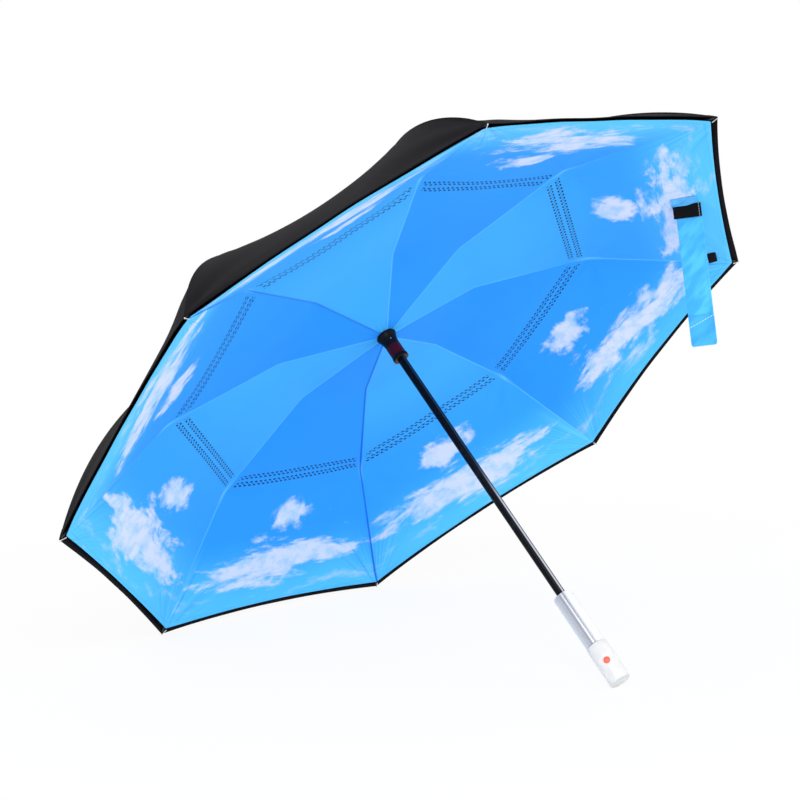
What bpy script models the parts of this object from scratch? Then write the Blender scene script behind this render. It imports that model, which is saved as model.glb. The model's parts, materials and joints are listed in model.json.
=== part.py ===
"""Reverse-folding umbrella with two covers, open, lying on two rib tips and its handle end.

Everything is modelled in metres in the umbrella's own frame: the shaft runs up +Z from the middle
of the handle's end face, and the ribs stand around it. One empty then tilts the whole umbrella,
so that the floor is the plane Z = 0 and the part's origin is under the middle of it.
"""
import math

import bmesh
import bpy
from mathutils import Matrix, Vector

# Clearances
GAP = 0.0003
CUT_OVERRUN = 0.002

# Frame: eight arms, each with a stretcher and three rib lengths
RIB_COUNT = 8
FIRST_RIB_AZIMUTH = math.radians(22.5)
HINGE_RING_RADIUS = 0.0135
RUNNER_HINGE_HEIGHT = 0.595
INNER_RIB_LENGTH = 0.1465
INNER_RIB_ANGLE = math.radians(15.0)
MIDDLE_RIB_LENGTH = 0.184
MIDDLE_RIB_ANGLE = math.radians(-14.65)
OUTER_RIB_LENGTH = 0.2219
OUTER_RIB_ANGLE = math.radians(-27.4)

# Rib bars, forks and rivets
BAR_THICKNESS = 0.003
BAR_HEIGHT = 0.0040
EYE_RADIUS = 0.0026
TINE_THICKNESS = 0.0008
YOKE_LENGTH = 0.005
STRETCHER_FORK_LENGTH = 0.030
MIDDLE_FORK_LENGTH = 0.020
OUTER_FORK_LENGTH = 0.013
RIVET_RADIUS = 0.0010
RIVET_HEAD_RADIUS = 0.0019
RIVET_HEAD_THICKNESS = 0.0008
SOCKET_RADIUS = 0.0027
SOCKET_LENGTH = 0.022
ROD_RADIUS = 0.0016
CAP_RADIUS = 0.0028
CAP_LENGTH = 0.016
CAP_BORE_DEPTH = 0.011

# Hinge rings that the ribs turn on
WIRE_RADIUS = 0.0008
COLLAR_RADIUS = 0.0165
SLOT_DEPTH_CLEARANCE = 0.0029
COLLAR_BELOW_HINGE = 0.0045
COLLAR_ABOVE_HINGE = 0.0036

# Shaft
SHAFT_RADIUS = 0.0060
SHAFT_WALL = 0.0008
SHAFT_START = 0.060

# Runner, from its open lower end up to the seat of the lining
RUNNER_BELOW_HINGE = 0.0533
RUNNER_RIM_RADIUS = 0.0110
RUNNER_RIM_HEIGHT = 0.0045
RUNNER_BEVEL = 0.0006
RUNNER_NECK_RADIUS = 0.0100
RUNNER_BAND_ABOVE_BOTTOM = 0.0058
RUNNER_BAND_HEIGHT = 0.0165
RUNNER_BAND_DEPTH = 0.0010
RUNNER_BAND_PROUD = 0.0003
RUNNER_FLARE_ABOVE_BOTTOM = 0.0298
RUNNER_FLARE_RADIUS = 0.0140
RUNNER_FLARE_EDGE = 0.0024
LINING_BELOW_HINGE = 0.0110
RUNNER_TOP_NECK_RADIUS = 0.0092
BUSH_RADIUS = 0.0096
BUSH_HEIGHT = 0.0020

# Crown and the cap over it
CROWN_ABOVE_HINGE = 0.0052
CROWN_NECK_RADIUS = 0.0090
CROWN_NECK_LENGTH = 0.012
CROWN_WEB = 0.0037
TOP_CAP_RADIUS = 0.0150
TOP_CAP_HEIGHT = 0.0085
TOP_CAP_EDGE = 0.0020
STEM_RADIUS = 0.0020
STEM_LENGTH = 0.0130

# Covers
CLOTH = 0.0008
KNEE_TIE_DROP = 0.0285
ELBOW_TIE_DROP = 0.0060
LINING_SETBACK = 0.0090
LINING_HEM_BOW = 0.0050
LINING_HEM_LIFT = 0.0067
COVER_SETBACK = 0.0010
COVER_HEM_BOW = 0.0035
COVER_HEM_LIFT = 0.0070
COVER_SAG = 0.0240
COVER_SAG_POWER_SHARE = 2.5
DOME_POWER_SHARE = 3.6
COVER_ROW_SHARES = (0.18, 0.36, 0.52, 0.66, 0.78, 0.87, 0.94, 1.0)
COLUMNS_PER_GORE = 4

# Handle
GRIP_RADIUS = 0.0140
GRIP_LENGTH = 0.1320
GRIP_BEVEL = 0.0015
LINER_BOTTOM = 0.0563
LINER_RADIUS = 0.0113
LINER_RIM_HEIGHT = 0.0022
BUTTON_RADIUS = 0.0043
BUTTON_HEIGHT = 0.0285
BUTTON_AZIMUTH = math.radians(-135.0)
BUTTON_PROUD = 0.0012
BUTTON_LENGTH = 0.0072
WELL_BOTTOM_RADIUS = 0.0040
SPRING_RADIUS = 0.0022
SPRING_WIRE_RADIUS = 0.0003
SPRING_TURNS = 2
SPRING_STEPS_PER_TURN = 9

# Closing strap and its pads, sewn on the gore between the last two ribs
STRAP_GORE = 7
STRAP_WIDTH = 0.035
STRAP_THICKNESS = 0.0012
STRAP_SEWN_MIDDLE_ACROSS = 0.0160
STRAP_FROM_HEM = 0.0550
STRAP_SEWN_LENGTH = 0.038
STRAP_CURL = 0.014
STRAP_CURL_STEPS = 4
STRAP_HANGING_LENGTH = 0.180
HOOK_PAD_FROM_CURL = 0.001
HOOK_PAD_LENGTH = 0.022
PAD_THICKNESS = 0.0012
LOOP_PAD_WIDTH = 0.014
LOOP_PAD_LENGTH = 0.024
LOOP_PAD_FROM_RIB = 0.0150
LOOP_PAD_FROM_HEM = 0.0300

# Fineness of round pieces
TURNED_SIDES = 32
WIRE_SIDES = 6
BUTTON_SIDES = 20
SMALL_SIDES = 8
EYE_STEPS = 4

# Places that follow from the sizes above
KNEE_RADIUS = HINGE_RING_RADIUS + INNER_RIB_LENGTH * math.cos(INNER_RIB_ANGLE)
KNEE_HEIGHT = RUNNER_HINGE_HEIGHT + INNER_RIB_LENGTH * math.sin(INNER_RIB_ANGLE)
CROWN_HINGE_HEIGHT = 2 * KNEE_HEIGHT - RUNNER_HINGE_HEIGHT
ELBOW_RADIUS = KNEE_RADIUS + MIDDLE_RIB_LENGTH * math.cos(MIDDLE_RIB_ANGLE)
ELBOW_HEIGHT = KNEE_HEIGHT + MIDDLE_RIB_LENGTH * math.sin(MIDDLE_RIB_ANGLE)
TIP_RADIUS = ELBOW_RADIUS + OUTER_RIB_LENGTH * math.cos(OUTER_RIB_ANGLE)
TIP_HEIGHT = ELBOW_HEIGHT + OUTER_RIB_LENGTH * math.sin(OUTER_RIB_ANGLE)
GORE_ANGLE = 2 * math.pi / RIB_COUNT
RUNNER_BOTTOM = RUNNER_HINGE_HEIGHT - RUNNER_BELOW_HINGE
RUNNER_BAND_BOTTOM = RUNNER_BOTTOM + RUNNER_BAND_ABOVE_BOTTOM
RUNNER_FLARE_BOTTOM = RUNNER_BOTTOM + RUNNER_FLARE_ABOVE_BOTTOM
LINING_SEAT = RUNNER_HINGE_HEIGHT - LINING_BELOW_HINGE

HALF_BAR = BAR_THICKNESS / 2
FIRST_TINE = HALF_BAR + GAP
FIRST_TINE_OUTSIDE = FIRST_TINE + TINE_THICKNESS
SECOND_TINE = FIRST_TINE_OUTSIDE + GAP
SECOND_TINE_OUTSIDE = SECOND_TINE + TINE_THICKNESS
PIN_HOLE_RADIUS = RIVET_RADIUS + GAP
WIRE_HOLE_RADIUS = WIRE_RADIUS + GAP
BORE_RADIUS = SHAFT_RADIUS + GAP
CROWN_TOP = CROWN_HINGE_HEIGHT + CROWN_ABOVE_HINGE
CLOTH_SEAT = GAP + CLOTH / 2


# Materials

def material(name, colour, roughness, metallic=0.0, transmission=0.0):
    made = bpy.data.materials.new(name)
    made.use_nodes = True
    shader = made.node_tree.nodes["Principled BSDF"]
    shader.inputs["Base Color"].default_value = (*colour, 1.0)
    shader.inputs["Roughness"].default_value = roughness
    shader.inputs["Metallic"].default_value = metallic
    shader.inputs["Transmission Weight"].default_value = transmission
    return made


def make_materials():
    return {
        "black_steel": material("black_steel", (0.012, 0.012, 0.014), 0.22, 0.6),
        "zinc_steel": material("zinc_steel", (0.55, 0.56, 0.58), 0.35, 1.0),
        "fibreglass": material("fibreglass", (0.03, 0.03, 0.033), 0.4),
        "black_plastic": material("black_plastic", (0.018, 0.018, 0.02), 0.35),
        "red_plastic": material("red_plastic", (0.16, 0.012, 0.016), 0.3),
        "brass": material("brass", (0.62, 0.44, 0.22), 0.3, 1.0),
        "sky_cloth": material("sky_cloth", (0.1, 0.38, 0.95), 0.55),
        "black_cloth": material("black_cloth", (0.03, 0.03, 0.033), 0.8),
        "clear_acrylic": material("clear_acrylic", (0.93, 0.94, 0.95), 0.08, 0.0, 0.9),
        "polished_aluminium": material("polished_aluminium", (0.8, 0.81, 0.83), 0.12, 1.0),
        "orange_plastic": material("orange_plastic", (0.85, 0.1, 0.04), 0.35),
        "blue_webbing": material("blue_webbing", (0.12, 0.5, 0.92), 0.7),
        "black_pile": material("black_pile", (0.015, 0.015, 0.017), 0.9),
    }


# Mesh helpers

def finish_mesh(bm, name, smooth_angle=math.radians(35)):
    bmesh.ops.recalc_face_normals(bm, faces=bm.faces)
    mesh = bpy.data.meshes.new(name)
    bm.to_mesh(mesh)
    bm.free()
    mesh.shade_smooth()
    mesh.set_sharp_from_angle(angle=smooth_angle)
    return mesh


def turned_mesh(name, profile, sides=TURNED_SIDES, closed=True):
    """A solid of revolution about Z. A closed profile makes a ring; an open one starts and ends on Z."""
    bm = bmesh.new()
    rings = []
    for radius, height in profile:
        if radius == 0:
            rings.append([bm.verts.new((0, 0, height))])
            continue
        ring = []
        for step in range(sides):
            angle = 2 * math.pi * step / sides
            ring.append(bm.verts.new((radius * math.cos(angle), radius * math.sin(angle), height)))
        rings.append(ring)
    pairs = list(zip(rings, rings[1:]))
    if closed:
        pairs.append((rings[-1], rings[0]))
    for lower, upper in pairs:
        for step in range(sides):
            after = (step + 1) % sides
            if len(lower) == 1:
                bm.faces.new((lower[0], upper[step], upper[after]))
            elif len(upper) == 1:
                bm.faces.new((lower[step], lower[after], upper[0]))
            else:
                bm.faces.new((lower[step], lower[after], upper[after], upper[step]))
    return finish_mesh(bm, name)


def plate_mesh(name, outline, near, far):
    """An outline in the XZ plane, extruded along Y from near to far."""
    bm = bmesh.new()
    front = [bm.verts.new((x, near, z)) for x, z in outline]
    back = [bm.verts.new((x, far, z)) for x, z in outline]
    bm.faces.new(front)
    bm.faces.new(back)
    count = len(outline)
    for step in range(count):
        after = (step + 1) % count
        bm.faces.new((front[step], front[after], back[after], back[step]))
    return finish_mesh(bm, name)


def arc(centre, radius, start, end, steps):
    """Points on an arc in the XZ plane, with both ends."""
    points = []
    for step in range(steps + 1):
        angle = start + (end - start) * step / steps
        points.append((centre + radius * math.cos(angle), radius * math.sin(angle)))
    return points


def circle(centre, radius, sides):
    return arc(centre, radius, 0, 2 * math.pi * (sides - 1) / sides, sides - 1)


def bar_outline(length, height, eye_radius, steps=EYE_STEPS):
    """A straight bar with a round eye at each end, along +X from one eye's middle to the other's."""
    shoulder = math.asin(height / 2 / eye_radius)
    outline = arc(length, eye_radius, -(math.pi - shoulder), math.pi - shoulder, steps)
    outline += arc(0, eye_radius, shoulder, 2 * math.pi - shoulder, steps)
    return outline


def tine_outline(end, root, height, eye_radius, steps=EYE_STEPS):
    """A tine with a round eye at X = end, running straight to X = root."""
    side = 1 if root > end else -1
    shoulder = math.asin(height / 2 / eye_radius)
    middle = 0 if side > 0 else math.pi
    outline = arc(end, eye_radius, middle + shoulder, middle + 2 * math.pi - shoulder, steps)
    return outline + [(root, -side * height / 2), (root, side * height / 2)]


def box_outline(start, end, height):
    return [(start, -height / 2), (end, -height / 2), (end, height / 2), (start, height / 2)]


def combine(name, first, joined=(), removed=()):
    """One mesh from Boolean unions and differences, kept on no object."""
    base = bpy.data.objects.new(name + "_base", first)
    bpy.context.scene.collection.objects.link(base)
    helpers = [base]
    steps = [(mesh, "UNION") for mesh in joined] + [(mesh, "DIFFERENCE") for mesh in removed]
    for mesh, operation in steps:
        helper = bpy.data.objects.new(name + "_helper", mesh)
        bpy.context.scene.collection.objects.link(helper)
        helpers.append(helper)
        boolean = base.modifiers.new(operation.lower(), "BOOLEAN")
        boolean.operation = operation
        boolean.solver = "EXACT"
        boolean.object = helper
    bpy.context.view_layer.update()
    evaluated = base.evaluated_get(bpy.context.evaluated_depsgraph_get())
    made = bpy.data.meshes.new_from_object(evaluated)
    made.name = name
    for helper in helpers:
        bpy.data.objects.remove(helper)
    made.shade_smooth()
    made.set_sharp_from_angle(angle=math.radians(35))
    return made


def add(name, mesh, finish, parent, location=(0, 0, 0), turn=None):
    mesh_material = mesh.materials
    if not mesh_material:
        mesh_material.append(finish)
    made = bpy.data.objects.new(name, mesh)
    bpy.context.scene.collection.objects.link(made)
    made.parent = parent
    made.location = location
    if turn is not None:
        made.rotation_euler = turn
    return made


def empty(name, parent=None, location=(0, 0, 0), turn=(0, 0, 0)):
    made = bpy.data.objects.new(name, None)
    bpy.context.scene.collection.objects.link(made)
    made.parent = parent
    made.location = location
    made.rotation_euler = turn
    return made


# Rib pieces, each along +X from its first pivot

def rivet_mesh(name, centre, head_inside):
    """A rivet along Y with a flat head on each side."""
    reach = head_inside + RIVET_HEAD_THICKNESS
    half = [(RIVET_RADIUS, head_inside), (RIVET_HEAD_RADIUS, head_inside), (RIVET_HEAD_RADIUS, reach)]
    half.append((0, reach))
    mirrored = [(radius, -along) for radius, along in reversed(half)]
    mesh = turned_mesh(name, mirrored + half, SMALL_SIDES, closed=False)
    mesh.transform(Matrix.Rotation(math.pi / 2, 4, "X"))
    mesh.transform(Matrix.Translation((centre, 0, 0)))
    return mesh


def fork_meshes(name, end, root, inside, outside, height):
    """Two tines from the eye at X = end to the yoke at X = root, and the yoke block."""
    away = YOKE_LENGTH if root > end else -YOKE_LENGTH
    outline = tine_outline(end, root + away / 2, height, EYE_RADIUS)
    yoke = box_outline(min(root, root + away), max(root, root + away), height)
    return [
        plate_mesh(name + "_tine_a", outline, inside, outside),
        plate_mesh(name + "_tine_b", outline, -outside, -inside),
        plate_mesh(name + "_yoke", yoke, -outside, outside),
    ]


def across(name, centre, radius, reach):
    """A round cutter along Y."""
    return plate_mesh(name, circle(centre, radius, SMALL_SIDES), -reach, reach)


def inner_rib_mesh():
    outline = bar_outline(INNER_RIB_LENGTH, BAR_HEIGHT, EYE_RADIUS)
    bar = plate_mesh("inner_rib_bar", outline, -HALF_BAR, HALF_BAR)
    rivet = rivet_mesh("knee_rivet", INNER_RIB_LENGTH, SECOND_TINE_OUTSIDE + GAP)
    hole = across("inner_rib_hole", 0, WIRE_HOLE_RADIUS, HALF_BAR + CUT_OVERRUN)
    return combine("inner_rib", bar, [rivet], [hole])


def stretcher_mesh():
    root = INNER_RIB_LENGTH - STRETCHER_FORK_LENGTH
    start = tine_outline(0, root - YOKE_LENGTH / 2, BAR_HEIGHT, EYE_RADIUS)
    bar = plate_mesh("stretcher_bar", start, -HALF_BAR, HALF_BAR)
    fork = fork_meshes(
        "stretcher", INNER_RIB_LENGTH, root, SECOND_TINE, SECOND_TINE_OUTSIDE, BAR_HEIGHT
    )
    reach = SECOND_TINE_OUTSIDE + CUT_OVERRUN
    holes = [
        across("stretcher_wire_hole", 0, WIRE_HOLE_RADIUS, HALF_BAR + CUT_OVERRUN),
        across("stretcher_pin_hole", INNER_RIB_LENGTH, PIN_HOLE_RADIUS, reach),
    ]
    return combine("stretcher", bar, fork, holes)


def middle_rib_mesh():
    root = MIDDLE_FORK_LENGTH
    far = tine_outline(MIDDLE_RIB_LENGTH, root + YOKE_LENGTH / 2, BAR_HEIGHT, EYE_RADIUS)
    bar = plate_mesh("middle_rib_bar", far, -HALF_BAR, HALF_BAR)
    fork = fork_meshes("middle_rib", 0, root, FIRST_TINE, FIRST_TINE_OUTSIDE, BAR_HEIGHT)
    rivet = rivet_mesh("elbow_rivet", MIDDLE_RIB_LENGTH, FIRST_TINE_OUTSIDE + GAP)
    hole = across("middle_rib_hole", 0, PIN_HOLE_RADIUS, FIRST_TINE_OUTSIDE + CUT_OVERRUN)
    return combine("middle_rib", bar, fork + [rivet], [hole])


def along_x(mesh):
    """Turns a mesh made about Z so that it lies along +X."""
    mesh.transform(Matrix.Rotation(math.pi / 2, 4, "Y"))
    return mesh


def outer_rib_mesh():
    root = OUTER_FORK_LENGTH
    fork = fork_meshes("outer_rib", 0, root, FIRST_TINE, FIRST_TINE_OUTSIDE, BAR_HEIGHT)
    socket_end = root + YOKE_LENGTH / 2 + SOCKET_LENGTH
    rod_end = OUTER_RIB_LENGTH - CAP_LENGTH + CAP_RADIUS + CAP_BORE_DEPTH - GAP
    rod = [
        (0, root + YOKE_LENGTH / 2),
        (SOCKET_RADIUS, root + YOKE_LENGTH / 2),
        (SOCKET_RADIUS, socket_end),
        (ROD_RADIUS, socket_end),
        (ROD_RADIUS, rod_end),
        (0, rod_end),
    ]
    shaft = along_x(turned_mesh("outer_rib_rod", rod, SMALL_SIDES, closed=False))
    hole = across("outer_rib_hole", 0, PIN_HOLE_RADIUS, FIRST_TINE_OUTSIDE + CUT_OVERRUN)
    return combine("outer_rib", fork[2], fork[:2] + [shaft], [hole])


def rib_tip_mesh():
    """A cap with a blind bore for the rod and a round nose whose middle is the rib's tip."""
    start = OUTER_RIB_LENGTH - CAP_LENGTH + CAP_RADIUS
    bore = ROD_RADIUS + GAP
    profile = [(0, start + CAP_BORE_DEPTH), (bore, start + CAP_BORE_DEPTH), (bore, start)]
    profile.append((CAP_RADIUS, start))
    nose_steps = 3
    for step in range(nose_steps):
        angle = math.pi / 2 * step / nose_steps
        nose = OUTER_RIB_LENGTH + CAP_RADIUS * math.sin(angle)
        profile.append((CAP_RADIUS * math.cos(angle), nose))
    profile.append((0, OUTER_RIB_LENGTH + CAP_RADIUS))
    return along_x(turned_mesh("rib_tip", profile, SMALL_SIDES, closed=False))


def make_ribs(umbrella, finishes):
    inner, stretcher = inner_rib_mesh(), stretcher_mesh()
    middle, outer, tip = middle_rib_mesh(), outer_rib_mesh(), rib_tip_mesh()
    for number in range(1, RIB_COUNT + 1):
        azimuth = FIRST_RIB_AZIMUTH + GORE_ANGLE * (number - 1)
        arm = empty(f"arm_{number}", umbrella, turn=(0, 0, azimuth))
        knee = (KNEE_RADIUS, 0, KNEE_HEIGHT)
        elbow = (ELBOW_RADIUS, 0, ELBOW_HEIGHT)
        at_runner = (HINGE_RING_RADIUS, 0, RUNNER_HINGE_HEIGHT)
        at_crown = (HINGE_RING_RADIUS, 0, CROWN_HINGE_HEIGHT)
        down = (0, INNER_RIB_ANGLE, 0)
        up = (0, -INNER_RIB_ANGLE, 0)
        add(f"stretcher_{number}", stretcher, finishes["zinc_steel"], arm, at_crown, down)
        add(f"inner_rib_{number}", inner, finishes["zinc_steel"], arm, at_runner, up)
        add(f"middle_rib_{number}", middle, finishes["zinc_steel"], arm, knee, (0, -MIDDLE_RIB_ANGLE, 0))
        last = (0, -OUTER_RIB_ANGLE, 0)
        add(f"outer_rib_{number}", outer, finishes["fibreglass"], arm, elbow, last)
        add(f"rib_tip_{number}", tip, finishes["black_plastic"], arm, elbow, last)


# Hubs on the shaft

def slot_cutters(name, bottom, top):
    """One box across the collar for each rib."""
    near = HINGE_RING_RADIUS - SLOT_DEPTH_CLEARANCE
    far = COLLAR_RADIUS + CUT_OVERRUN
    outline = [(near, bottom), (far, bottom), (far, top), (near, top)]
    cutters = []
    for number in range(RIB_COUNT):
        cutter = plate_mesh(f"{name}_{number}", outline, -FIRST_TINE, FIRST_TINE)
        cutter.transform(Matrix.Rotation(FIRST_RIB_AZIMUTH + GORE_ANGLE * number, 4, "Z"))
        cutters.append(cutter)
    return cutters


def wire_groove(hinge_height, top):
    """The part of a collar's profile that is the groove for the hinge wire, from outside inwards."""
    floor = hinge_height - WIRE_HOLE_RADIUS
    outside = HINGE_RING_RADIUS + WIRE_HOLE_RADIUS
    inside = HINGE_RING_RADIUS - WIRE_HOLE_RADIUS
    return [(outside, top), (outside, floor), (inside, floor), (inside, top)]


def runner_mesh():
    band_inside = RUNNER_NECK_RADIUS - RUNNER_BAND_DEPTH
    band_top = RUNNER_BAND_BOTTOM + RUNNER_BAND_HEIGHT
    rim_top = RUNNER_BOTTOM + RUNNER_RIM_HEIGHT
    flare_run = LINING_SEAT - RUNNER_FLARE_EDGE - RUNNER_FLARE_BOTTOM
    flare_rise = RUNNER_FLARE_RADIUS - RUNNER_NECK_RADIUS
    collar_bottom = RUNNER_HINGE_HEIGHT - COLLAR_BELOW_HINGE
    collar_top = RUNNER_HINGE_HEIGHT + COLLAR_ABOVE_HINGE
    profile = [
        (BUSH_RADIUS + GAP, RUNNER_BOTTOM),
        (RUNNER_RIM_RADIUS - RUNNER_BEVEL, RUNNER_BOTTOM),
        (RUNNER_RIM_RADIUS, RUNNER_BOTTOM + RUNNER_BEVEL),
        (RUNNER_RIM_RADIUS, rim_top),
        (RUNNER_NECK_RADIUS, rim_top + RUNNER_RIM_RADIUS - RUNNER_NECK_RADIUS),
        (RUNNER_NECK_RADIUS, RUNNER_BAND_BOTTOM),
        (band_inside, RUNNER_BAND_BOTTOM),
        (band_inside, band_top),
        (RUNNER_NECK_RADIUS, band_top),
        (RUNNER_NECK_RADIUS, RUNNER_FLARE_BOTTOM),
    ]
    flare_steps = 4
    for step in range(1, flare_steps + 1):
        share = step / flare_steps
        radius = RUNNER_NECK_RADIUS + flare_rise * share * share
        profile.append((radius, RUNNER_FLARE_BOTTOM + flare_run * share))
    profile += [
        (RUNNER_FLARE_RADIUS, LINING_SEAT),
        (RUNNER_TOP_NECK_RADIUS, LINING_SEAT),
        (RUNNER_TOP_NECK_RADIUS, collar_bottom),
        (COLLAR_RADIUS, collar_bottom),
        (COLLAR_RADIUS, collar_top),
    ]
    profile += wire_groove(RUNNER_HINGE_HEIGHT, collar_top)
    recess_top = RUNNER_BOTTOM + BUSH_HEIGHT + GAP
    profile += [(BORE_RADIUS, collar_top), (BORE_RADIUS, recess_top), (BUSH_RADIUS + GAP, recess_top)]
    body = turned_mesh("runner_body", profile)
    slot_bottom = collar_bottom - GAP
    return combine("runner", body, (), slot_cutters("runner_slot", slot_bottom, collar_top + CUT_OVERRUN))


def ring_mesh(name, inside, outside, bottom, top):
    return turned_mesh(name, [(inside, bottom), (outside, bottom), (outside, top), (inside, top)])


def wire_ring_mesh(name, height):
    profile = []
    for step in range(WIRE_SIDES):
        angle = 2 * math.pi * step / WIRE_SIDES
        radius = HINGE_RING_RADIUS + WIRE_RADIUS * math.cos(angle)
        profile.append((radius, height + WIRE_RADIUS * math.sin(angle)))
    return turned_mesh(name, profile)


def make_runner(umbrella, finishes):
    hinge = Vector((HINGE_RING_RADIUS * math.cos(FIRST_RIB_AZIMUTH),
                    HINGE_RING_RADIUS * math.sin(FIRST_RIB_AZIMUTH), RUNNER_HINGE_HEIGHT))
    pivot = empty("runner_pivot", umbrella, hinge)
    back = -hinge
    add("runner", runner_mesh(), finishes["black_plastic"], pivot, back)
    band_inside = RUNNER_NECK_RADIUS - RUNNER_BAND_DEPTH + GAP
    band_outside = RUNNER_NECK_RADIUS + RUNNER_BAND_PROUD
    band_top = RUNNER_BAND_BOTTOM + RUNNER_BAND_HEIGHT - GAP
    band = ring_mesh("runner_band", band_inside, band_outside, RUNNER_BAND_BOTTOM + GAP, band_top)
    add("runner_band", band, finishes["red_plastic"], pivot, back)
    bush = ring_mesh("runner_bush", BORE_RADIUS, BUSH_RADIUS, RUNNER_BOTTOM, RUNNER_BOTTOM + BUSH_HEIGHT)
    add("runner_bush", bush, finishes["brass"], pivot, back)
    wire = wire_ring_mesh("runner_wire", RUNNER_HINGE_HEIGHT)
    add("runner_wire", wire, finishes["zinc_steel"], pivot, back)


def crown_mesh():
    collar_bottom = CROWN_HINGE_HEIGHT - COLLAR_ABOVE_HINGE
    neck_bottom = collar_bottom - CROWN_NECK_LENGTH
    web_bottom = CROWN_TOP - CROWN_WEB
    hole = STEM_RADIUS + GAP
    profile = [
        (BORE_RADIUS, neck_bottom),
        (CROWN_NECK_RADIUS, neck_bottom),
        (CROWN_NECK_RADIUS, collar_bottom),
        (COLLAR_RADIUS, collar_bottom),
        (COLLAR_RADIUS, CROWN_TOP),
    ]
    profile += wire_groove(CROWN_HINGE_HEIGHT, CROWN_TOP)
    profile += [(hole, CROWN_TOP), (hole, web_bottom), (BORE_RADIUS, web_bottom)]
    body = turned_mesh("crown_body", profile)
    slots = slot_cutters("crown_slot", collar_bottom - CUT_OVERRUN, CROWN_TOP + CUT_OVERRUN)
    return combine("crown", body, (), slots)


def top_cap_mesh():
    """A low dome that clamps the outer cover on the crown, with a stem down into the shaft."""
    base = CROWN_TOP + GAP + CLOTH + GAP
    profile = [(0, base - STEM_LENGTH), (STEM_RADIUS, base - STEM_LENGTH), (STEM_RADIUS, base)]
    profile += [(TOP_CAP_RADIUS, base), (TOP_CAP_RADIUS, base + TOP_CAP_EDGE)]
    dome_steps = 5
    for step in range(1, dome_steps):
        angle = math.pi / 2 * step / dome_steps
        height = base + TOP_CAP_EDGE + (TOP_CAP_HEIGHT - TOP_CAP_EDGE) * math.sin(angle)
        profile.append((TOP_CAP_RADIUS * math.cos(angle), height))
    profile.append((0, base + TOP_CAP_HEIGHT))
    return turned_mesh("top_cap", profile, closed=False)


def make_shaft(umbrella, finishes):
    shaft_top = CROWN_TOP - CROWN_WEB - GAP
    shaft = ring_mesh("shaft", SHAFT_RADIUS - SHAFT_WALL, SHAFT_RADIUS, SHAFT_START, shaft_top)
    add("shaft", shaft, finishes["black_steel"], umbrella)
    add("crown", crown_mesh(), finishes["black_plastic"], umbrella)
    wire = wire_ring_mesh("crown_wire", CROWN_HINGE_HEIGHT)
    add("crown_wire", wire, finishes["zinc_steel"], umbrella)
    add("top_cap", top_cap_mesh(), finishes["black_plastic"], umbrella)


# Covers

def rib_direction(number):
    azimuth = FIRST_RIB_AZIMUTH + GORE_ANGLE * (number - 1)
    return Vector((math.cos(azimuth), math.sin(azimuth), 0))


def seam_point(profile, distance):
    """Radius and height at a distance along a seam's outline."""
    for (r0, z0), (r1, z1) in zip(profile, profile[1:]):
        length = math.hypot(r1 - r0, z1 - z0)
        if distance <= length or (r1, z1) == profile[-1]:
            share = distance / length
            return r0 + (r1 - r0) * share, z0 + (z1 - z0) * share
        distance -= length


def seam_length(profile):
    return sum(math.dist(a, b) for a, b in zip(profile, profile[1:]))


def cover_mesh(name, rows, round_rows):
    """A surface of rows round the shaft. Each row gives radius and height for a share across a gore."""
    bm = bmesh.new()
    grid = []
    for index, row in enumerate(rows):
        ring = []
        for gore in range(1, RIB_COUNT + 1):
            for column in range(COLUMNS_PER_GORE):
                share = column / COLUMNS_PER_GORE
                radius, height = row(share)
                if index < round_rows:
                    place = Matrix.Rotation(GORE_ANGLE * share, 3, "Z") @ rib_direction(gore)
                else:
                    place = rib_direction(gore).lerp(rib_direction(gore + 1), share)
                ring.append(bm.verts.new(place * radius + Vector((0, 0, height))))
        grid.append(ring)
    for inner, outer in zip(grid, grid[1:]):
        for step in range(len(inner)):
            after = (step + 1) % len(inner)
            bm.faces.new((inner[step], outer[step], outer[after], inner[after]))
    return finish_mesh(bm, name)


def add_cover(name, mesh, finish, umbrella):
    cover = add(name, mesh, finish, umbrella)
    thickness = cover.modifiers.new("cloth", "SOLIDIFY")
    thickness.thickness = CLOTH
    thickness.offset = 0
    thickness.use_even_offset = True
    return cover


def lining_profile():
    """The lining's seam under one rib, from the runner to the rib's tip."""
    hub_height = LINING_SEAT + CLOTH_SEAT
    cosine, sine = math.cos(OUTER_RIB_ANGLE), math.sin(OUTER_RIB_ANGLE)
    below = CAP_RADIUS + CLOTH_SEAT
    corner_radius = TIP_RADIUS - LINING_SETBACK * cosine + below * sine
    corner_height = TIP_HEIGHT - LINING_SETBACK * sine - below * cosine
    return [
        (RUNNER_TOP_NECK_RADIUS + GAP, hub_height),
        (RUNNER_FLARE_RADIUS, hub_height),
        (KNEE_RADIUS, KNEE_HEIGHT - KNEE_TIE_DROP),
        (ELBOW_RADIUS, ELBOW_HEIGHT - ELBOW_TIE_DROP),
        (corner_radius, corner_height),
    ]


def bulge(share):
    """0 at the ribs and 1 in the middle of a gore."""
    return 4 * share * (1 - share)


def outer_panel_place(outer, step_share, bulging):
    """Radius and height on the outer panel, which bows in and rises a little between the ribs."""
    length = seam_length(outer)
    radius, height = seam_point(outer, (length - LINING_HEM_BOW * bulging) * step_share)
    (r0, z0), (r1, z1) = outer
    rise = LINING_HEM_LIFT * bulging * step_share / length
    return radius - (z1 - z0) * rise, height + (r1 - r0) * rise


def lining_rows():
    profile = lining_profile()
    hub, seat, knee, elbow, corner = profile
    rows = [lambda share: hub, lambda share: seat]
    middle = ((knee[0] + seat[0]) / 2, (knee[1] + seat[1]) / 2)
    between = ((knee[0] + elbow[0]) / 2, (knee[1] + elbow[1]) / 2)
    for place in (middle, knee, between, elbow):
        rows.append(lambda share, place=place: place)
    outer = [elbow, corner]
    outer_rows = 3
    for step in range(1, outer_rows + 1):
        def row(share, step=step):
            return outer_panel_place(outer, step / outer_rows, bulge(share))
        rows.append(row)
    return rows


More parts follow.
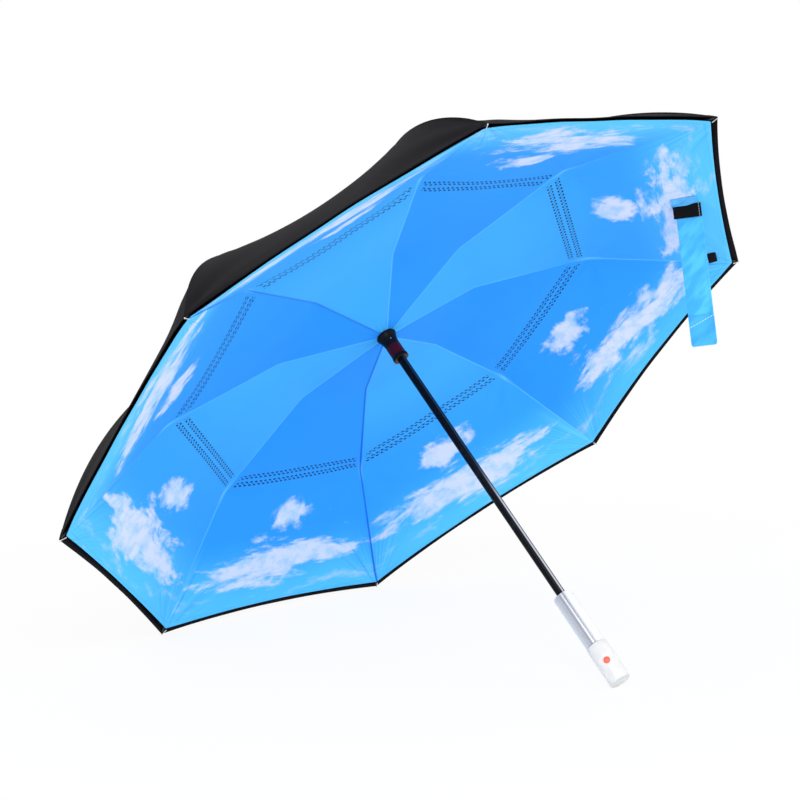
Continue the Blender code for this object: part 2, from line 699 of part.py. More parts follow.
def make_lining(umbrella, finishes):
    add_cover("lining", cover_mesh("lining", lining_rows(), 1), finishes["sky_cloth"], umbrella)


def cover_corner():
    cosine, sine = math.cos(OUTER_RIB_ANGLE), math.sin(OUTER_RIB_ANGLE)
    above = CAP_RADIUS + CLOTH_SEAT
    radius = TIP_RADIUS - COVER_SETBACK * cosine - above * sine
    height = TIP_HEIGHT - COVER_SETBACK * sine + above * cosine
    return radius, height


def dome_height(radius):
    """Height of the outer cover's ridge: flat over the crown and steep at the rim."""
    corner_radius, corner_height = cover_corner()
    rise = CROWN_TOP + CLOTH_SEAT - corner_height
    return corner_height + rise * (1 - (radius / corner_radius) ** DOME_POWER_SHARE)


def cover_rows():
    corner_radius, corner_height = cover_corner()
    hole, edge = STEM_RADIUS + GAP, COLLAR_RADIUS + GAP
    rows = [lambda share: (hole, dome_height(hole)), lambda share: (edge, dome_height(edge))]
    for reach_share in COVER_ROW_SHARES:
        def row(share, reach_share=reach_share):
            hem = reach_share ** DOME_POWER_SHARE * bulge(share)
            sag = math.sin(math.pi * reach_share ** COVER_SAG_POWER_SHARE) * bulge(share)
            height = dome_height(corner_radius * reach_share)
            height += COVER_HEM_LIFT * hem - COVER_SAG * sag
            return corner_radius * reach_share - COVER_HEM_BOW * hem, height
        rows.append(row)
    return rows


def make_outer_cover(umbrella, finishes):
    mesh = cover_mesh("outer_cover", cover_rows(), 2)
    add_cover("outer_cover", mesh, finishes["black_cloth"], umbrella)


# Handle

def make_handle(umbrella, finishes):
    liner_seat = LINER_BOTTOM - GAP
    bore = LINER_RADIUS + GAP
    profile = [
        (0, 0),
        (GRIP_RADIUS - GRIP_BEVEL, 0),
        (GRIP_RADIUS, GRIP_BEVEL),
        (GRIP_RADIUS, GRIP_LENGTH),
        (bore, GRIP_LENGTH),
        (bore, liner_seat),
        (0, liner_seat),
    ]
    body = turned_mesh("grip_body", profile, closed=False)
    far = GRIP_RADIUS + CUT_OVERRUN
    well = turned_mesh("button_well", [
        (0, WELL_BOTTOM_RADIUS), (BUTTON_RADIUS + GAP, WELL_BOTTOM_RADIUS),
        (BUTTON_RADIUS + GAP, far), (0, far)], BUTTON_SIDES, closed=False)
    along_x(well)
    well.transform(Matrix.Rotation(BUTTON_AZIMUTH, 4, "Z"))
    well.transform(Matrix.Translation((0, 0, BUTTON_HEIGHT)))
    add("grip", combine("grip", body, (), [well]), finishes["clear_acrylic"], umbrella)
    liner_top = GRIP_LENGTH + GAP + LINER_RIM_HEIGHT
    liner = turned_mesh("handle_liner", [
        (BORE_RADIUS, LINER_BOTTOM),
        (LINER_RADIUS, LINER_BOTTOM),
        (LINER_RADIUS, GRIP_LENGTH + GAP),
        (GRIP_RADIUS, GRIP_LENGTH + GAP),
        (GRIP_RADIUS, liner_top),
        (BORE_RADIUS, liner_top),
    ])
    add("handle_liner", liner, finishes["polished_aluminium"], umbrella)


def make_button(umbrella, finishes):
    """The button slides along its own +X; a small spring sits under it."""
    inner_end = GRIP_RADIUS + BUTTON_PROUD - BUTTON_LENGTH
    turn = (0, 0, BUTTON_AZIMUTH)
    button_frame = empty("button_frame", umbrella, (0, 0, BUTTON_HEIGHT), turn)
    bevel = BUTTON_PROUD / 3
    profile = [
        (0, 0), (BUTTON_RADIUS, 0), (BUTTON_RADIUS, BUTTON_LENGTH - bevel),
        (BUTTON_RADIUS - bevel, BUTTON_LENGTH), (0, BUTTON_LENGTH),
    ]
    button = along_x(turned_mesh("button", profile, BUTTON_SIDES, closed=False))
    add("button", button, finishes["orange_plastic"], button_frame, (inner_end, 0, 0))
    curve = bpy.data.curves.new("button_spring", "CURVE")
    curve.dimensions = "3D"
    curve.bevel_depth = SPRING_WIRE_RADIUS
    curve.bevel_resolution = 1
    curve.use_fill_caps = True
    start = WELL_BOTTOM_RADIUS + GAP + SPRING_WIRE_RADIUS
    run = inner_end - GAP - SPRING_WIRE_RADIUS - start
    count = SPRING_TURNS * SPRING_STEPS_PER_TURN + 1
    spline = curve.splines.new("POLY")
    spline.points.add(count - 1)
    for step in range(count):
        angle = 2 * math.pi * step / SPRING_STEPS_PER_TURN
        along = start + run * step / (count - 1)
        spline.points[step].co = (
            along, SPRING_RADIUS * math.cos(angle), SPRING_RADIUS * math.sin(angle), 1)
    curve.materials.append(finishes["zinc_steel"])
    spring = bpy.data.objects.new("button_spring", curve)
    bpy.context.scene.collection.objects.link(spring)
    spring.parent = button_frame


# Strap and pads

def panel_point(share, from_hem):
    """A point on the middle of the lining's cloth, in the strap's gore."""
    outer = lining_profile()[-2:]
    column = share * COLUMNS_PER_GORE
    low = math.floor(column)
    one, two = bulge(low / COLUMNS_PER_GORE), bulge((low + 1) / COLUMNS_PER_GORE)
    bulging = one + (two - one) * (column - low)
    radius, height = outer_panel_place(outer, 1 - from_hem / seam_length(outer), bulging)
    before, after = rib_direction(STRAP_GORE), rib_direction(STRAP_GORE + 1)
    return before.lerp(after, share) * radius + Vector((0, 0, height))


def panel_width(from_hem):
    return (panel_point(1, from_hem) - panel_point(0, from_hem)).length


def panel_frame(share, from_hem, half_across, half_slope):
    """A frame on the lining's outer panel: a middle, across, down the slope, and inwards."""
    half = half_across / panel_width(from_hem)
    left, right = panel_point(share - half, from_hem), panel_point(share + half, from_hem)
    top, low = panel_point(share, from_hem + half_slope), panel_point(share, from_hem - half_slope)
    across_gore = (right - left).normalized()
    slope = (low - top).normalized()
    inwards = across_gore.cross(slope).normalized()
    if inwards.z > 0:
        inwards.negate()
    return (left + right + top + low) / 4, across_gore, slope, inwards


def swept_strip(name, path, across_strip, width, thickness):
    """A flat strip along a path, with its width across the path."""
    bm = bmesh.new()
    rings = []
    for index, place in enumerate(path):
        before, after = path[max(index - 1, 0)], path[min(index + 1, len(path) - 1)]
        run = (after - before).normalized()
        side = (across_strip - run * across_strip.dot(run)).normalized()
        out = run.cross(side)
        corners = ((-1, -1), (1, -1), (1, 1), (-1, 1))
        ring = [
            bm.verts.new(place + side * (a * width / 2) + out * (b * thickness / 2)) for a, b in corners
        ]
        rings.append(ring)
    for one, two in zip(rings, rings[1:]):
        for step in range(4):
            after = (step + 1) % 4
            bm.faces.new((one[step], two[step], two[after], one[after]))
    bm.faces.new(rings[0])
    bm.faces.new(rings[-1])
    return finish_mesh(bm, name)


def make_strap(umbrella, tilt, finishes):
    share = 1 / 2 + STRAP_SEWN_MIDDLE_ACROSS / panel_width(STRAP_FROM_HEM)
    middle, across_gore, slope, inwards = panel_frame(
        share, STRAP_FROM_HEM, STRAP_SEWN_LENGTH / 2, STRAP_WIDTH / 2)
    down = Vector((0, math.sin(tilt), -math.cos(tilt)))
    middle = middle + inwards * (CLOTH_SEAT + STRAP_THICKNESS / 2)
    half = across_gore * (STRAP_SEWN_LENGTH / 2)
    path = [middle - half, middle + half]
    place = middle + half
    for step in range(1, STRAP_CURL_STEPS + 1):
        direction = across_gore.lerp(down, step / STRAP_CURL_STEPS).normalized()
        place = place + direction * (STRAP_CURL / STRAP_CURL_STEPS)
        path.append(place)
    path.append(place + down * STRAP_HANGING_LENGTH)
    strap = swept_strip("tie_strap", path, slope, STRAP_WIDTH, STRAP_THICKNESS)
    add("tie_strap", strap, finishes["blue_webbing"], umbrella)

    face = down.cross(slope).normalized()
    if face.dot(across_gore) > 0:
        face.negate()
    top = place + down * HOOK_PAD_FROM_CURL + face * (STRAP_THICKNESS / 2 + GAP + PAD_THICKNESS / 2)
    hook = swept_strip(
        "hook_pad", [top, top + down * HOOK_PAD_LENGTH], slope, STRAP_WIDTH, PAD_THICKNESS)
    add("hook_pad", hook, finishes["black_pile"], umbrella)


def make_loop_pad(umbrella, finishes):
    share = 1 - LOOP_PAD_FROM_RIB / panel_width(LOOP_PAD_FROM_HEM)
    middle, across_gore, slope, inwards = panel_frame(
        share, LOOP_PAD_FROM_HEM, LOOP_PAD_LENGTH / 2, LOOP_PAD_WIDTH / 2)
    middle = middle + inwards * (CLOTH_SEAT + PAD_THICKNESS / 2)
    half = across_gore * (LOOP_PAD_LENGTH / 2)
    pad = swept_strip("loop_pad", [middle - half, middle + half], slope, LOOP_PAD_WIDTH, PAD_THICKNESS)
    add("loop_pad", pad, finishes["black_pile"], umbrella)


# Lying on the floor

def lying_tilt():
    """The shaft's lean from upright when the handle's end edge and two rib tips touch the floor."""
    along = TIP_RADIUS * math.cos(GORE_ANGLE / 2) - (GRIP_RADIUS - GRIP_BEVEL)
    reach = math.hypot(along, TIP_HEIGHT)
    return math.atan2(TIP_HEIGHT, along) - math.asin(CAP_RADIUS / reach)


def stand_on_floor(umbrella):
    """Moves the umbrella so that the world's origin is under the middle of it, on the floor."""
    bpy.context.view_layer.update()
    graph = bpy.context.evaluated_depsgraph_get()
    low, high = Vector((math.inf,) * 3), Vector((-math.inf,) * 3)
    for piece in bpy.data.objects:
        if piece.type == "EMPTY":
            continue
        evaluated = piece.evaluated_get(graph)
        mesh = evaluated.to_mesh()
        for vertex in mesh.vertices:
            place = evaluated.matrix_world @ vertex.co
            low = Vector(map(min, low, place))
            high = Vector(map(max, high, place))
        evaluated.to_mesh_clear()
    umbrella.location = (-(low.x + high.x) / 2, -(low.y + high.y) / 2, -low.z)


def main():
    for old in list(bpy.data.objects):
        bpy.data.objects.remove(old)
    finishes = make_materials()
    tilt = lying_tilt()
    umbrella = empty("umbrella", turn=(-tilt, 0, 0))
    make_ribs(umbrella, finishes)
    make_shaft(umbrella, finishes)
    make_runner(umbrella, finishes)
    make_lining(umbrella, finishes)
    make_outer_cover(umbrella, finishes)
    make_handle(umbrella, finishes)
    make_button(umbrella, finishes)
    make_strap(umbrella, tilt, finishes)
    make_loop_pad(umbrella, finishes)
    stand_on_floor(umbrella)


main()
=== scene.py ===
"""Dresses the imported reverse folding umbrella: cloths, strap, fittings, handle and stage."""

import json
import math

import bpy
import numpy as np
from bpy.props import FloatProperty, FloatVectorProperty, PointerProperty
from bpy.types import Operator, Panel, PropertyGroup
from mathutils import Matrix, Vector


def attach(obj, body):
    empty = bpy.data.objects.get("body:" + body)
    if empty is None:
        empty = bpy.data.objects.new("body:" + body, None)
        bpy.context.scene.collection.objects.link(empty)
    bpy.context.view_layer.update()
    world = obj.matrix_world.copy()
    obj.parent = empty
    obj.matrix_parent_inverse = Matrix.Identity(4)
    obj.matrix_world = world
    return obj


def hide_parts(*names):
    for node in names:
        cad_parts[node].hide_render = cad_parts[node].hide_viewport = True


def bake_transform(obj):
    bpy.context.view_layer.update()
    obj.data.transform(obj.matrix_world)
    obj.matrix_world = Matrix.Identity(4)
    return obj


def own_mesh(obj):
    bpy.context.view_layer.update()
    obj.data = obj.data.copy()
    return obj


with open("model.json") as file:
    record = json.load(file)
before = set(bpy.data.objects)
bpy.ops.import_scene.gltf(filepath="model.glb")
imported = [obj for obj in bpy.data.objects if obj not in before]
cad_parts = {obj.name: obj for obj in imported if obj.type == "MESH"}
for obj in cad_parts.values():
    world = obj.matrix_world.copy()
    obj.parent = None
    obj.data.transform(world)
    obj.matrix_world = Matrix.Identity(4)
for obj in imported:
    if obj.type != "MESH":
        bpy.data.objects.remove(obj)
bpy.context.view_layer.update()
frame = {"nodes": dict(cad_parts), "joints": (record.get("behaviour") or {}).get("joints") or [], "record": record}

bl_info = {
    "name": "Reverse Folding Umbrella",
    "version": (1, 0, 0),
    "blender": (4, 5, 0),
    "location": "View3D > Sidebar > Umbrella",
    "description": "Dresses an open reverse folding umbrella: cloths, fittings, handle and stage",
    "category": "Object",
}

# The umbrella's own frame: its foot is the middle of the handle's end, and its height runs up the shaft

RIBS = 8
GORE_ANGLE = 2 * math.pi / RIBS
HALF_GORE = GORE_ANGLE / 2
RIB_NUMBERS = range(1, RIBS + 1)
JOINTS = {joint["name"]: joint for joint in frame["joints"]}


def joint_place(name):
    return np.array(JOINTS[name]["pos_m"], float)


def unit(vector):
    return vector / np.linalg.norm(vector)


CROWN_HINGES = ["fold"] + [f"crown_hinge_{number}" for number in RIB_NUMBERS if number > 1]
RUNNER_HINGES = [f"runner_hinge_{number}" for number in RIB_NUMBERS]
FOOT = np.array(frame["record"]["mounts"][0]["pos_m"], float)
CROWN_MIDDLE = np.mean([joint_place(name) for name in CROWN_HINGES], axis=0)
RUNNER_MIDDLE = np.mean([joint_place(name) for name in RUNNER_HINGES], axis=0)
UP = unit(CROWN_MIDDLE - RUNNER_MIDDLE)
SIDE = np.array((1.0, 0.0, 0.0))
AXES = np.array((SIDE, np.cross(UP, SIDE), UP))


def to_world(places):
    return FOOT + np.asarray(places, float) @ AXES


def to_umbrella(places):
    return (np.asarray(places, float) - FOOT) @ AXES.T


def joint_outline(name):
    """Radius and height of a joint."""
    place = to_umbrella(joint_place(name))
    return math.hypot(place[0], place[1]), place[2]


def rib_directions(numbers):
    """Directions out along ribs. Fractions lie between two ribs."""
    azimuths = HALF_GORE + GORE_ANGLE * (np.asarray(numbers, float) - 1)
    return np.stack((np.cos(azimuths), np.sin(azimuths), np.zeros_like(azimuths)), axis=-1)


def direction_at(degrees):
    """Direction out at an azimuth."""
    azimuth = math.radians(degrees)
    return np.array((math.cos(azimuth), math.sin(azimuth), 0.0))


def sideways(direction):
    """Direction level with a direction out, and square to it."""
    return np.array((-direction[1], direction[0], 0.0))


def at_height(height):
    return np.array((0.0, 0.0, height))


def leaning_axes(out, run=(1.0, 0.0)):
    """Axes of a piece turned round a line that runs outwards and upwards by a run."""
    along = out * run[0] + at_height(run[1])
    return np.array((np.cross(sideways(out), along), sideways(out), along)) @ AXES


KNEE = joint_outline("rib_knee_1")
ELBOW = joint_outline("rib_elbow_1")
RUNNER_HEIGHT = joint_outline("runner_hinge_1")[1]
CROWN_HEIGHT = joint_outline("fold")[1]
LINING_SEAT = RUNNER_HEIGHT - 0.0110
CROWN_TOP = CROWN_HEIGHT + 0.0052
CLOTH_CLEARANCE = 0.0007


# Objects

FINISHES = {}


def put_in_scene(name, data):
    """An object in the scene, from a mesh, a lamp or a camera."""
    made = bpy.data.objects.new(name, data)
    bpy.context.scene.collection.objects.link(made)
    return made


def make_piece(name, places, faces, finish, notes, sharp_angle=None):
    """A smooth shaded piece, with notes at its points for its finish to read."""
    mesh = bpy.data.meshes.new(name)
    mesh.from_pydata(places.tolist(), [], faces)
    mesh.shade_smooth()
    for title, values in notes.items():
        attribute = mesh.attributes.new(title, "FLOAT", "POINT")
        attribute.data.foreach_set("value", values.astype(np.float32).ravel())
    if sharp_angle:
        mesh.set_sharp_from_angle(angle=math.radians(sharp_angle))
    mesh.materials.append(FINISHES[finish])
    return put_in_scene(name, mesh)


def grid_quads(index):
    """Faces between the points of a grid, from their numbers."""
    corners = (index[:-1, :-1], index[:-1, 1:], index[1:, 1:], index[1:, :-1])
    return np.stack(corners, axis=-1).reshape(-1, 4)


def fit(piece, body, node=None):
    """Fixes a piece to a body, and hides the CAD node it replaces where one is named."""
    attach(piece, body)
    if node:
        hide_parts(node)


# Settings

class CanopySettings(PropertyGroup):
    light_blue: FloatVectorProperty(
        name="Light gores", description="Colour of every other gore of the lining",
        default=(0.056, 0.455, 0.97), subtype="COLOR", min=0, max=1)
    deep_blue: FloatVectorProperty(
        name="Deep gores", description="Colour of the gores between the light ones",
        default=(0.019, 0.322, 0.96), subtype="COLOR", min=0, max=1)
    outer_blue: FloatVectorProperty(
        name="Outer blue", description="Colour of the lining behind the clouds",
        default=(0.028, 0.365, 0.97), subtype="COLOR", min=0, max=1)
    hem_blue: FloatVectorProperty(
        name="Hem blue", description="Paler colour that the lining reaches at its hem",
        default=(0.105, 0.620, 1.0), subtype="COLOR", min=0, max=1)
    cloud_white: FloatVectorProperty(
        name="Clouds", description="Colour of the middle of the printed clouds",
        default=(0.78, 0.81, 0.95), subtype="COLOR", min=0, max=1)
    cover_black: FloatVectorProperty(
        name="Cover", description="Colour of the outer cover",
        default=(0.0080, 0.0072, 0.0096), subtype="COLOR", min=0, max=1)
    knee_tie: FloatProperty(
        name="Knee tie", description="Drop from a rib's knee to the lining's seam",
        default=0.0285, subtype="DISTANCE", min=0.005, max=0.05)
    elbow_tie: FloatProperty(
        name="Elbow tie", description="Drop from a rib's elbow to the lining's seam",
        default=0.0060, subtype="DISTANCE", min=0.001, max=0.03)
    lining_corner_radius: FloatProperty(
        name="Lining corner radius",
        description="Distance of the lining's corners from the shaft's middle",
        default=0.5204, subtype="DISTANCE", min=0.3, max=0.8)
    lining_corner_height: FloatProperty(
        name="Lining corner height",
        description="Height of the lining's corners above the handle's end",
        default=0.48533, subtype="DISTANCE", min=0.3, max=0.8)
    lining_bow: FloatProperty(
        name="Lining hem bow", description="How far the lining's hem bows in between two ribs",
        default=0.0050, subtype="DISTANCE", min=0, max=0.06)
    lining_lift: FloatProperty(
        name="Lining hem lift",
        description="How far the lining's hem rises towards the cover between two ribs",
        default=0.0067, subtype="DISTANCE", min=0, max=0.03)
    cover_corner_radius: FloatProperty(
        name="Cover corner radius",
        description="Distance of the cover's corners from the shaft's middle",
        default=0.5307, subtype="DISTANCE", min=0.3, max=0.8)
    cover_corner_height: FloatProperty(
        name="Cover corner height",
        description="Height of the cover's corners above the handle's end",
        default=0.4834, subtype="DISTANCE", min=0.3, max=0.8)
    cover_bow: FloatProperty(
        name="Cover hem bow", description="How far the cover's hem bows in between two ribs",
        default=0.0035, subtype="DISTANCE", min=0, max=0.06)
    cover_lift: FloatProperty(
        name="Cover hem lift", description="How far the cover's hem rises between two ribs",
        default=0.0087, subtype="DISTANCE", min=0, max=0.03)
    cover_sag: FloatProperty(
        name="Cover sag", description="How far the cover sinks between two ribs",
        default=0.0240, subtype="DISTANCE", min=0, max=0.05)
    sag: FloatProperty(
        name="Sag", description="How far the middle of a gore is drawn towards the handle",
        default=0.0022, subtype="DISTANCE", min=0, max=0.02)
    crease_depth: FloatProperty(
        name="Crease depth", description="Depth of the soft creases that fan out from the sewn corners",
        default=0.0012, subtype="DISTANCE", min=0, max=0.005)
    hem_width: FloatProperty(
        name="Hem width", description="Width of the turned hem",
        default=0.0085, subtype="DISTANCE", min=0.002, max=0.03)


class FittingSettings(PropertyGroup):
    band_red: FloatVectorProperty(
        name="Runner band", description="Colour of the band round the runner",
        default=(0.062, 0.003, 0.009), subtype="COLOR", min=0, max=1)
    button_orange: FloatVectorProperty(
        name="Button", description="Colour of the button in the handle",
        default=(1.0, 0.135, 0.075), subtype="COLOR", min=0, max=1)
    shaft_radius: FloatProperty(
        name="Shaft radius", description="Outside radius of the shaft",
        default=0.0060, subtype="DISTANCE", min=0.003, max=0.01)
    grip_radius: FloatProperty(
        name="Handle radius", description="Outside radius of the clear sleeve",
        default=0.0140, subtype="DISTANCE", min=0.008, max=0.03)


class StageSettings(PropertyGroup):
    floor_tone: FloatProperty(
        name="Floor tone", description="How pale the floor is",
        default=0.92, subtype="FACTOR", min=0, max=1)
    key_power: FloatProperty(
        name="Key lamp", description="Power of the large soft lamp in front",
        default=78.0, subtype="POWER", min=0, max=1000)
    fill_power: FloatProperty(
        name="Fill lamp", description="Power of the second soft lamp",
        default=26.0, subtype="POWER", min=0, max=1000)
    ambient: FloatProperty(
        name="Ambient light", description="Strength of the light from all around",
        default=0.80, subtype="FACTOR", min=0, max=1)
    lens: FloatProperty(
        name="Lens", description="Focal length of the camera",
        default=93.95, subtype="DISTANCE_CAMERA", min=10, max=300)


# Shader recipes


class Signal:
    """One value in a material's nodes. Sums written with it add Math nodes."""

    def __init__(self, recipe, socket):
        self.recipe = recipe
        self.socket = socket

    def math(self, operation, *others):
        values = {place: value for place, value in enumerate((self, *others))}
        return self.recipe.node("ShaderNodeMath", {"operation": operation}, values)

    def flipped(self, operation, other):
        return self.recipe.node("ShaderNodeMath", {"operation": operation}, {0: other, 1: self})

    def __add__(self, other):
        return self.math("ADD", other)

    __radd__ = __add__

    def __sub__(self, other):
        return self.math("SUBTRACT", other)

    def __rsub__(self, other):
        return self.flipped("SUBTRACT", other)

    def __mul__(self, other):
        return self.math("MULTIPLY", other)

    __rmul__ = __mul__

    def __truediv__(self, other):
        return self.math("DIVIDE", other)

    def __rtruediv__(self, other):
        return self.flipped("DIVIDE", other)

    def __mod__(self, other):
        return self.math("MODULO", other)

    def __gt__(self, other):
        return self.math("GREATER_THAN", other)

    def __lt__(self, other):
        return self.math("LESS_THAN", other)

    def __abs__(self):
        return self.math("ABSOLUTE")

    def floor(self):
        return self.math("FLOOR")

    def root(self):
        return self.math("SQRT")

    def smooth(self, low, high):
        """0 up to low, 1 from high, and a smooth step between them."""
        settings = {"interpolation_type": "SMOOTHSTEP", "clamp": True}
        sockets = {"Value": self, "From Min": low, "From Max": high, "To Min": 0.0, "To Max": 1.0}
        return self.recipe.node("ShaderNodeMapRange", settings, sockets)

    def hump(self, middle, width):
        """1 at the middle, and smoothly down to 0 at a width to either side."""
        return 1 - abs(self - middle).smooth(0.0, width)


class Recipe:
    """A procedural material, made of nodes that end in one Principled shader."""

    def __init__(self, name="", tree=None, **constants):
        if tree:
            self.tree = tree
            return
        self.material = bpy.data.materials.new(name)
        self.material.use_nodes = True
        self.tree = self.material.node_tree
        self.shader = self.tree.nodes["Principled BSDF"]
        for socket, value in constants.items():
            title = socket.replace("_", " ").title().replace("Ior", "IOR")
            self.shader.inputs[title].default_value = value

    def node(self, kind, settings=None, sockets=None, output=0):
        """Adds a node: its settings first, then the values or links of its sockets."""
        made = self.tree.nodes.new(kind)
        for name, value in (settings or {}).items():
            setattr(made, name, value)
        for name, value in (sockets or {}).items():
            if isinstance(value, Signal):
                self.tree.links.new(value.socket, made.inputs[name])
            else:
                made.inputs[name].default_value = value
        return Signal(self, made.outputs[output])

    def attribute(self, name):
        return self.node("ShaderNodeAttribute", {"attribute_name": name}, output="Fac")

    def vector(self, x, y, z):
        return self.node("ShaderNodeCombineXYZ", None, {0: x, 1: y, 2: z})

    def place(self):
        return self.node("ShaderNodeTexCoord", None, None, "Object")

    def stretched(self, vector, scale):
        return self.node("ShaderNodeVectorMath", {"operation": "MULTIPLY"}, {0: vector, 1: scale})

    def noise(self, vector, scale, detail=3.0, roughness=0.5, distortion=0.0):
        sockets = {"Vector": vector, "Scale": scale, "Detail": detail,
                   "Roughness": roughness, "Distortion": distortion}
        return self.node("ShaderNodeTexNoise", None, sockets)

    def mix(self, factor, first, second):
        """A colour between two, each a link or three numbers."""
        first, second = (colour if isinstance(colour, Signal) else (*colour, 1.0)
                         for colour in (first, second))
        return self.node("ShaderNodeMix", {"data_type": "RGBA"}, {0: factor, 6: first, 7: second}, 2)

    def feed(self, **signals):
        for name, signal in signals.items():
            self.tree.links.new(signal.socket, self.shader.inputs[name.replace("_", " ").title()])

    def relief(self, height, strength, distance):
        bump = self.node("ShaderNodeBump", None,
                         {"Strength": strength, "Distance": distance, "Height": height})
        self.feed(normal=bump)
        return self


def ribbing(distance, pitch):
    """Even ribs along a distance."""
    return (distance * (2 * math.pi / pitch)).math("SINE")


def weave_height(first, second, pitch):
    """A fine plain weave, from two distances along the cloth."""
    return ribbing(first, pitch) * ribbing(second, pitch)


def dashes(distance, pitch, share):
    """1 on the stitches along a distance, and 0 in the gaps between them."""
    whole_pitches = 20.0
    return (distance / pitch + whole_pitches) % 1.0 < share


# Places and sizes on the printed lining, measured along it in metres

HOLE_ROWS, HOLE_ROW_GAP, HOLE_PITCH = 3, 0.0028, 0.0080
HOLE_STAGGER, HOLE_OVAL = 0.36, 0.62
HOLE_RADIUS, HOLE_EDGE, MIDDLE_HOLES_LESS = 0.0014, 0.00012, 0.0006


def hole_rows(along, reach, start):
    """Small oval holes in staggered rows, from a reach outwards, smaller in the middle row."""
    row = (reach - start) / HOLE_ROW_GAP
    number = row.floor()
    across = (row - number - 0.5) * HOLE_ROW_GAP
    column = along / HOLE_PITCH + number * HOLE_STAGGER
    beside = (column - column.floor() - 0.5) * (HOLE_PITCH * HOLE_OVAL)
    distance = (across * across + beside * beside).root()
    distance = distance + number.hump(1.0, 0.5) * MIDDLE_HOLES_LESS
    inside = (row > 0.0) * (row < float(HOLE_ROWS))
    return (1 - distance.smooth(HOLE_RADIUS - HOLE_EDGE, HOLE_RADIUS + HOLE_EDGE)) * inside


PUFF_PAST_ELBOW, PUFF_HALF_WIDTH, PUFF_HALF_DEPTH = 0.056, 0.050, 0.031
BANK_FROM_HEM, BANK_HALF_WIDTH, BANK_HALF_DEPTH = 0.072, 0.155, 0.046
WISP_FROM_HEM, WISP_HALF_DEPTH = 0.030, 0.034
CLOUDS_START = 0.012
CLOUD_SHADE = (0.45, 0.68, 1.0)


def cloud_cover(recipe, along, reach, cloth_place, chances, elbow_reach, end_reach):
    """How much cloud lies on a gore: a puff past the elbow, a bank and thin wisps towards the hem."""
    chance, second = chances
    billow = recipe.noise(cloth_place, 26.0, 9.0, 0.60, 0.2) - 0.5
    streak = recipe.noise(recipe.stretched(cloth_place, (0.6, 1.7, 1.0)), 20.0, 9.0, 0.64, 0.2) - 0.5
    aside = (along - (chance - 0.5) * 0.12) / PUFF_HALF_WIDTH
    ahead = (reach - (elbow_reach + PUFF_PAST_ELBOW) - (second - 0.5) * 0.03) / PUFF_HALF_DEPTH
    puff = 0.80 - (aside * aside + ahead * ahead).root() * 0.8 + billow * 2.3
    slant = along * (chance - 0.5) * 0.9
    layer = abs(reach - (end_reach - BANK_FROM_HEM) + slant) / BANK_HALF_DEPTH
    side = abs(along - (second - 0.5) * 0.15) / BANK_HALF_WIDTH
    bank = 0.72 - layer * 0.75 - (side * side) * 0.55 + streak * 3.2
    wisp = 0.20 - abs(reach - (end_reach - WISP_FROM_HEM)) / WISP_HALF_DEPTH * 0.5 + streak * 3.4
    cloud = puff.smooth(0.0, 0.42).math("MAXIMUM", bank.smooth(0.0, 0.50))
    cloud = cloud.math("MAXIMUM", wisp.smooth(0.0, 0.8) * 0.65)
    return cloud * reach.smooth(elbow_reach, elbow_reach + CLOUDS_START)


# Painted shade and painted highlight of the soft creases at a gore's corners
CREASE_START, CREASE_LENGTH = 0.03, 0.15
CREASE_SHADE, CREASE_HIGHLIGHT = (0.014, 0.24, 0.84), (0.20, 0.66, 1.0)


def painted_crease_shading(recipe, colour, from_rib, from_hem, gore, after):
    """Painted shade and painted highlight in lines that fan out from a gore's sewn corners, standing in for the
    light on its soft creases.
    """
    fan = recipe.noise(recipe.vector(from_rib / (from_hem + 0.012), gore, after), 5.0, 2.0)
    near = 1 - (from_rib + from_hem).smooth(CREASE_START, CREASE_LENGTH)
    colour = recipe.mix(fan.hump(0.47, 0.035) * near * 0.45, colour, CREASE_SHADE)
    return recipe.mix(fan.hump(0.57, 0.050) * near * 0.35, colour, CREASE_HIGHLIGHT)


# Seam lines: a painted highlight along most ribs, painted shade along ribs 2 and 5, and a painted highlight where
# the seams bend at the elbows
SEAM_WIDTH, SHADED_SEAM_WIDER = 0.0017, 0.0012
ELBOW_HIGHLIGHT_WIDTH, ELBOW_HIGHLIGHT_LENGTH = 0.0050, 0.030
SEAM_HIGHLIGHT, SEAM_SHADE = (0.20, 0.68, 1.0), (0.0, 0.09, 0.72)
HEM_STITCH_WIDTH, HEM_STITCH = 0.0008, (0.01, 0.20, 0.80)
FIRST_HOLES_BEFORE_ELBOW, SECOND_HOLES_BEFORE_ELBOW = 0.0310, 0.0172
HOLES_FROM_RIB, HOLE_DARK = (0.0085, 0.0095), (0.001, 0.007, 0.055)
LINING_WEAVE, COVER_WEAVE = 0.0009, 0.0010
COVER_STITCH_EDGES, SEAM_BLACK = (0.0004, 0.0011), (0.006, 0.006, 0.007)


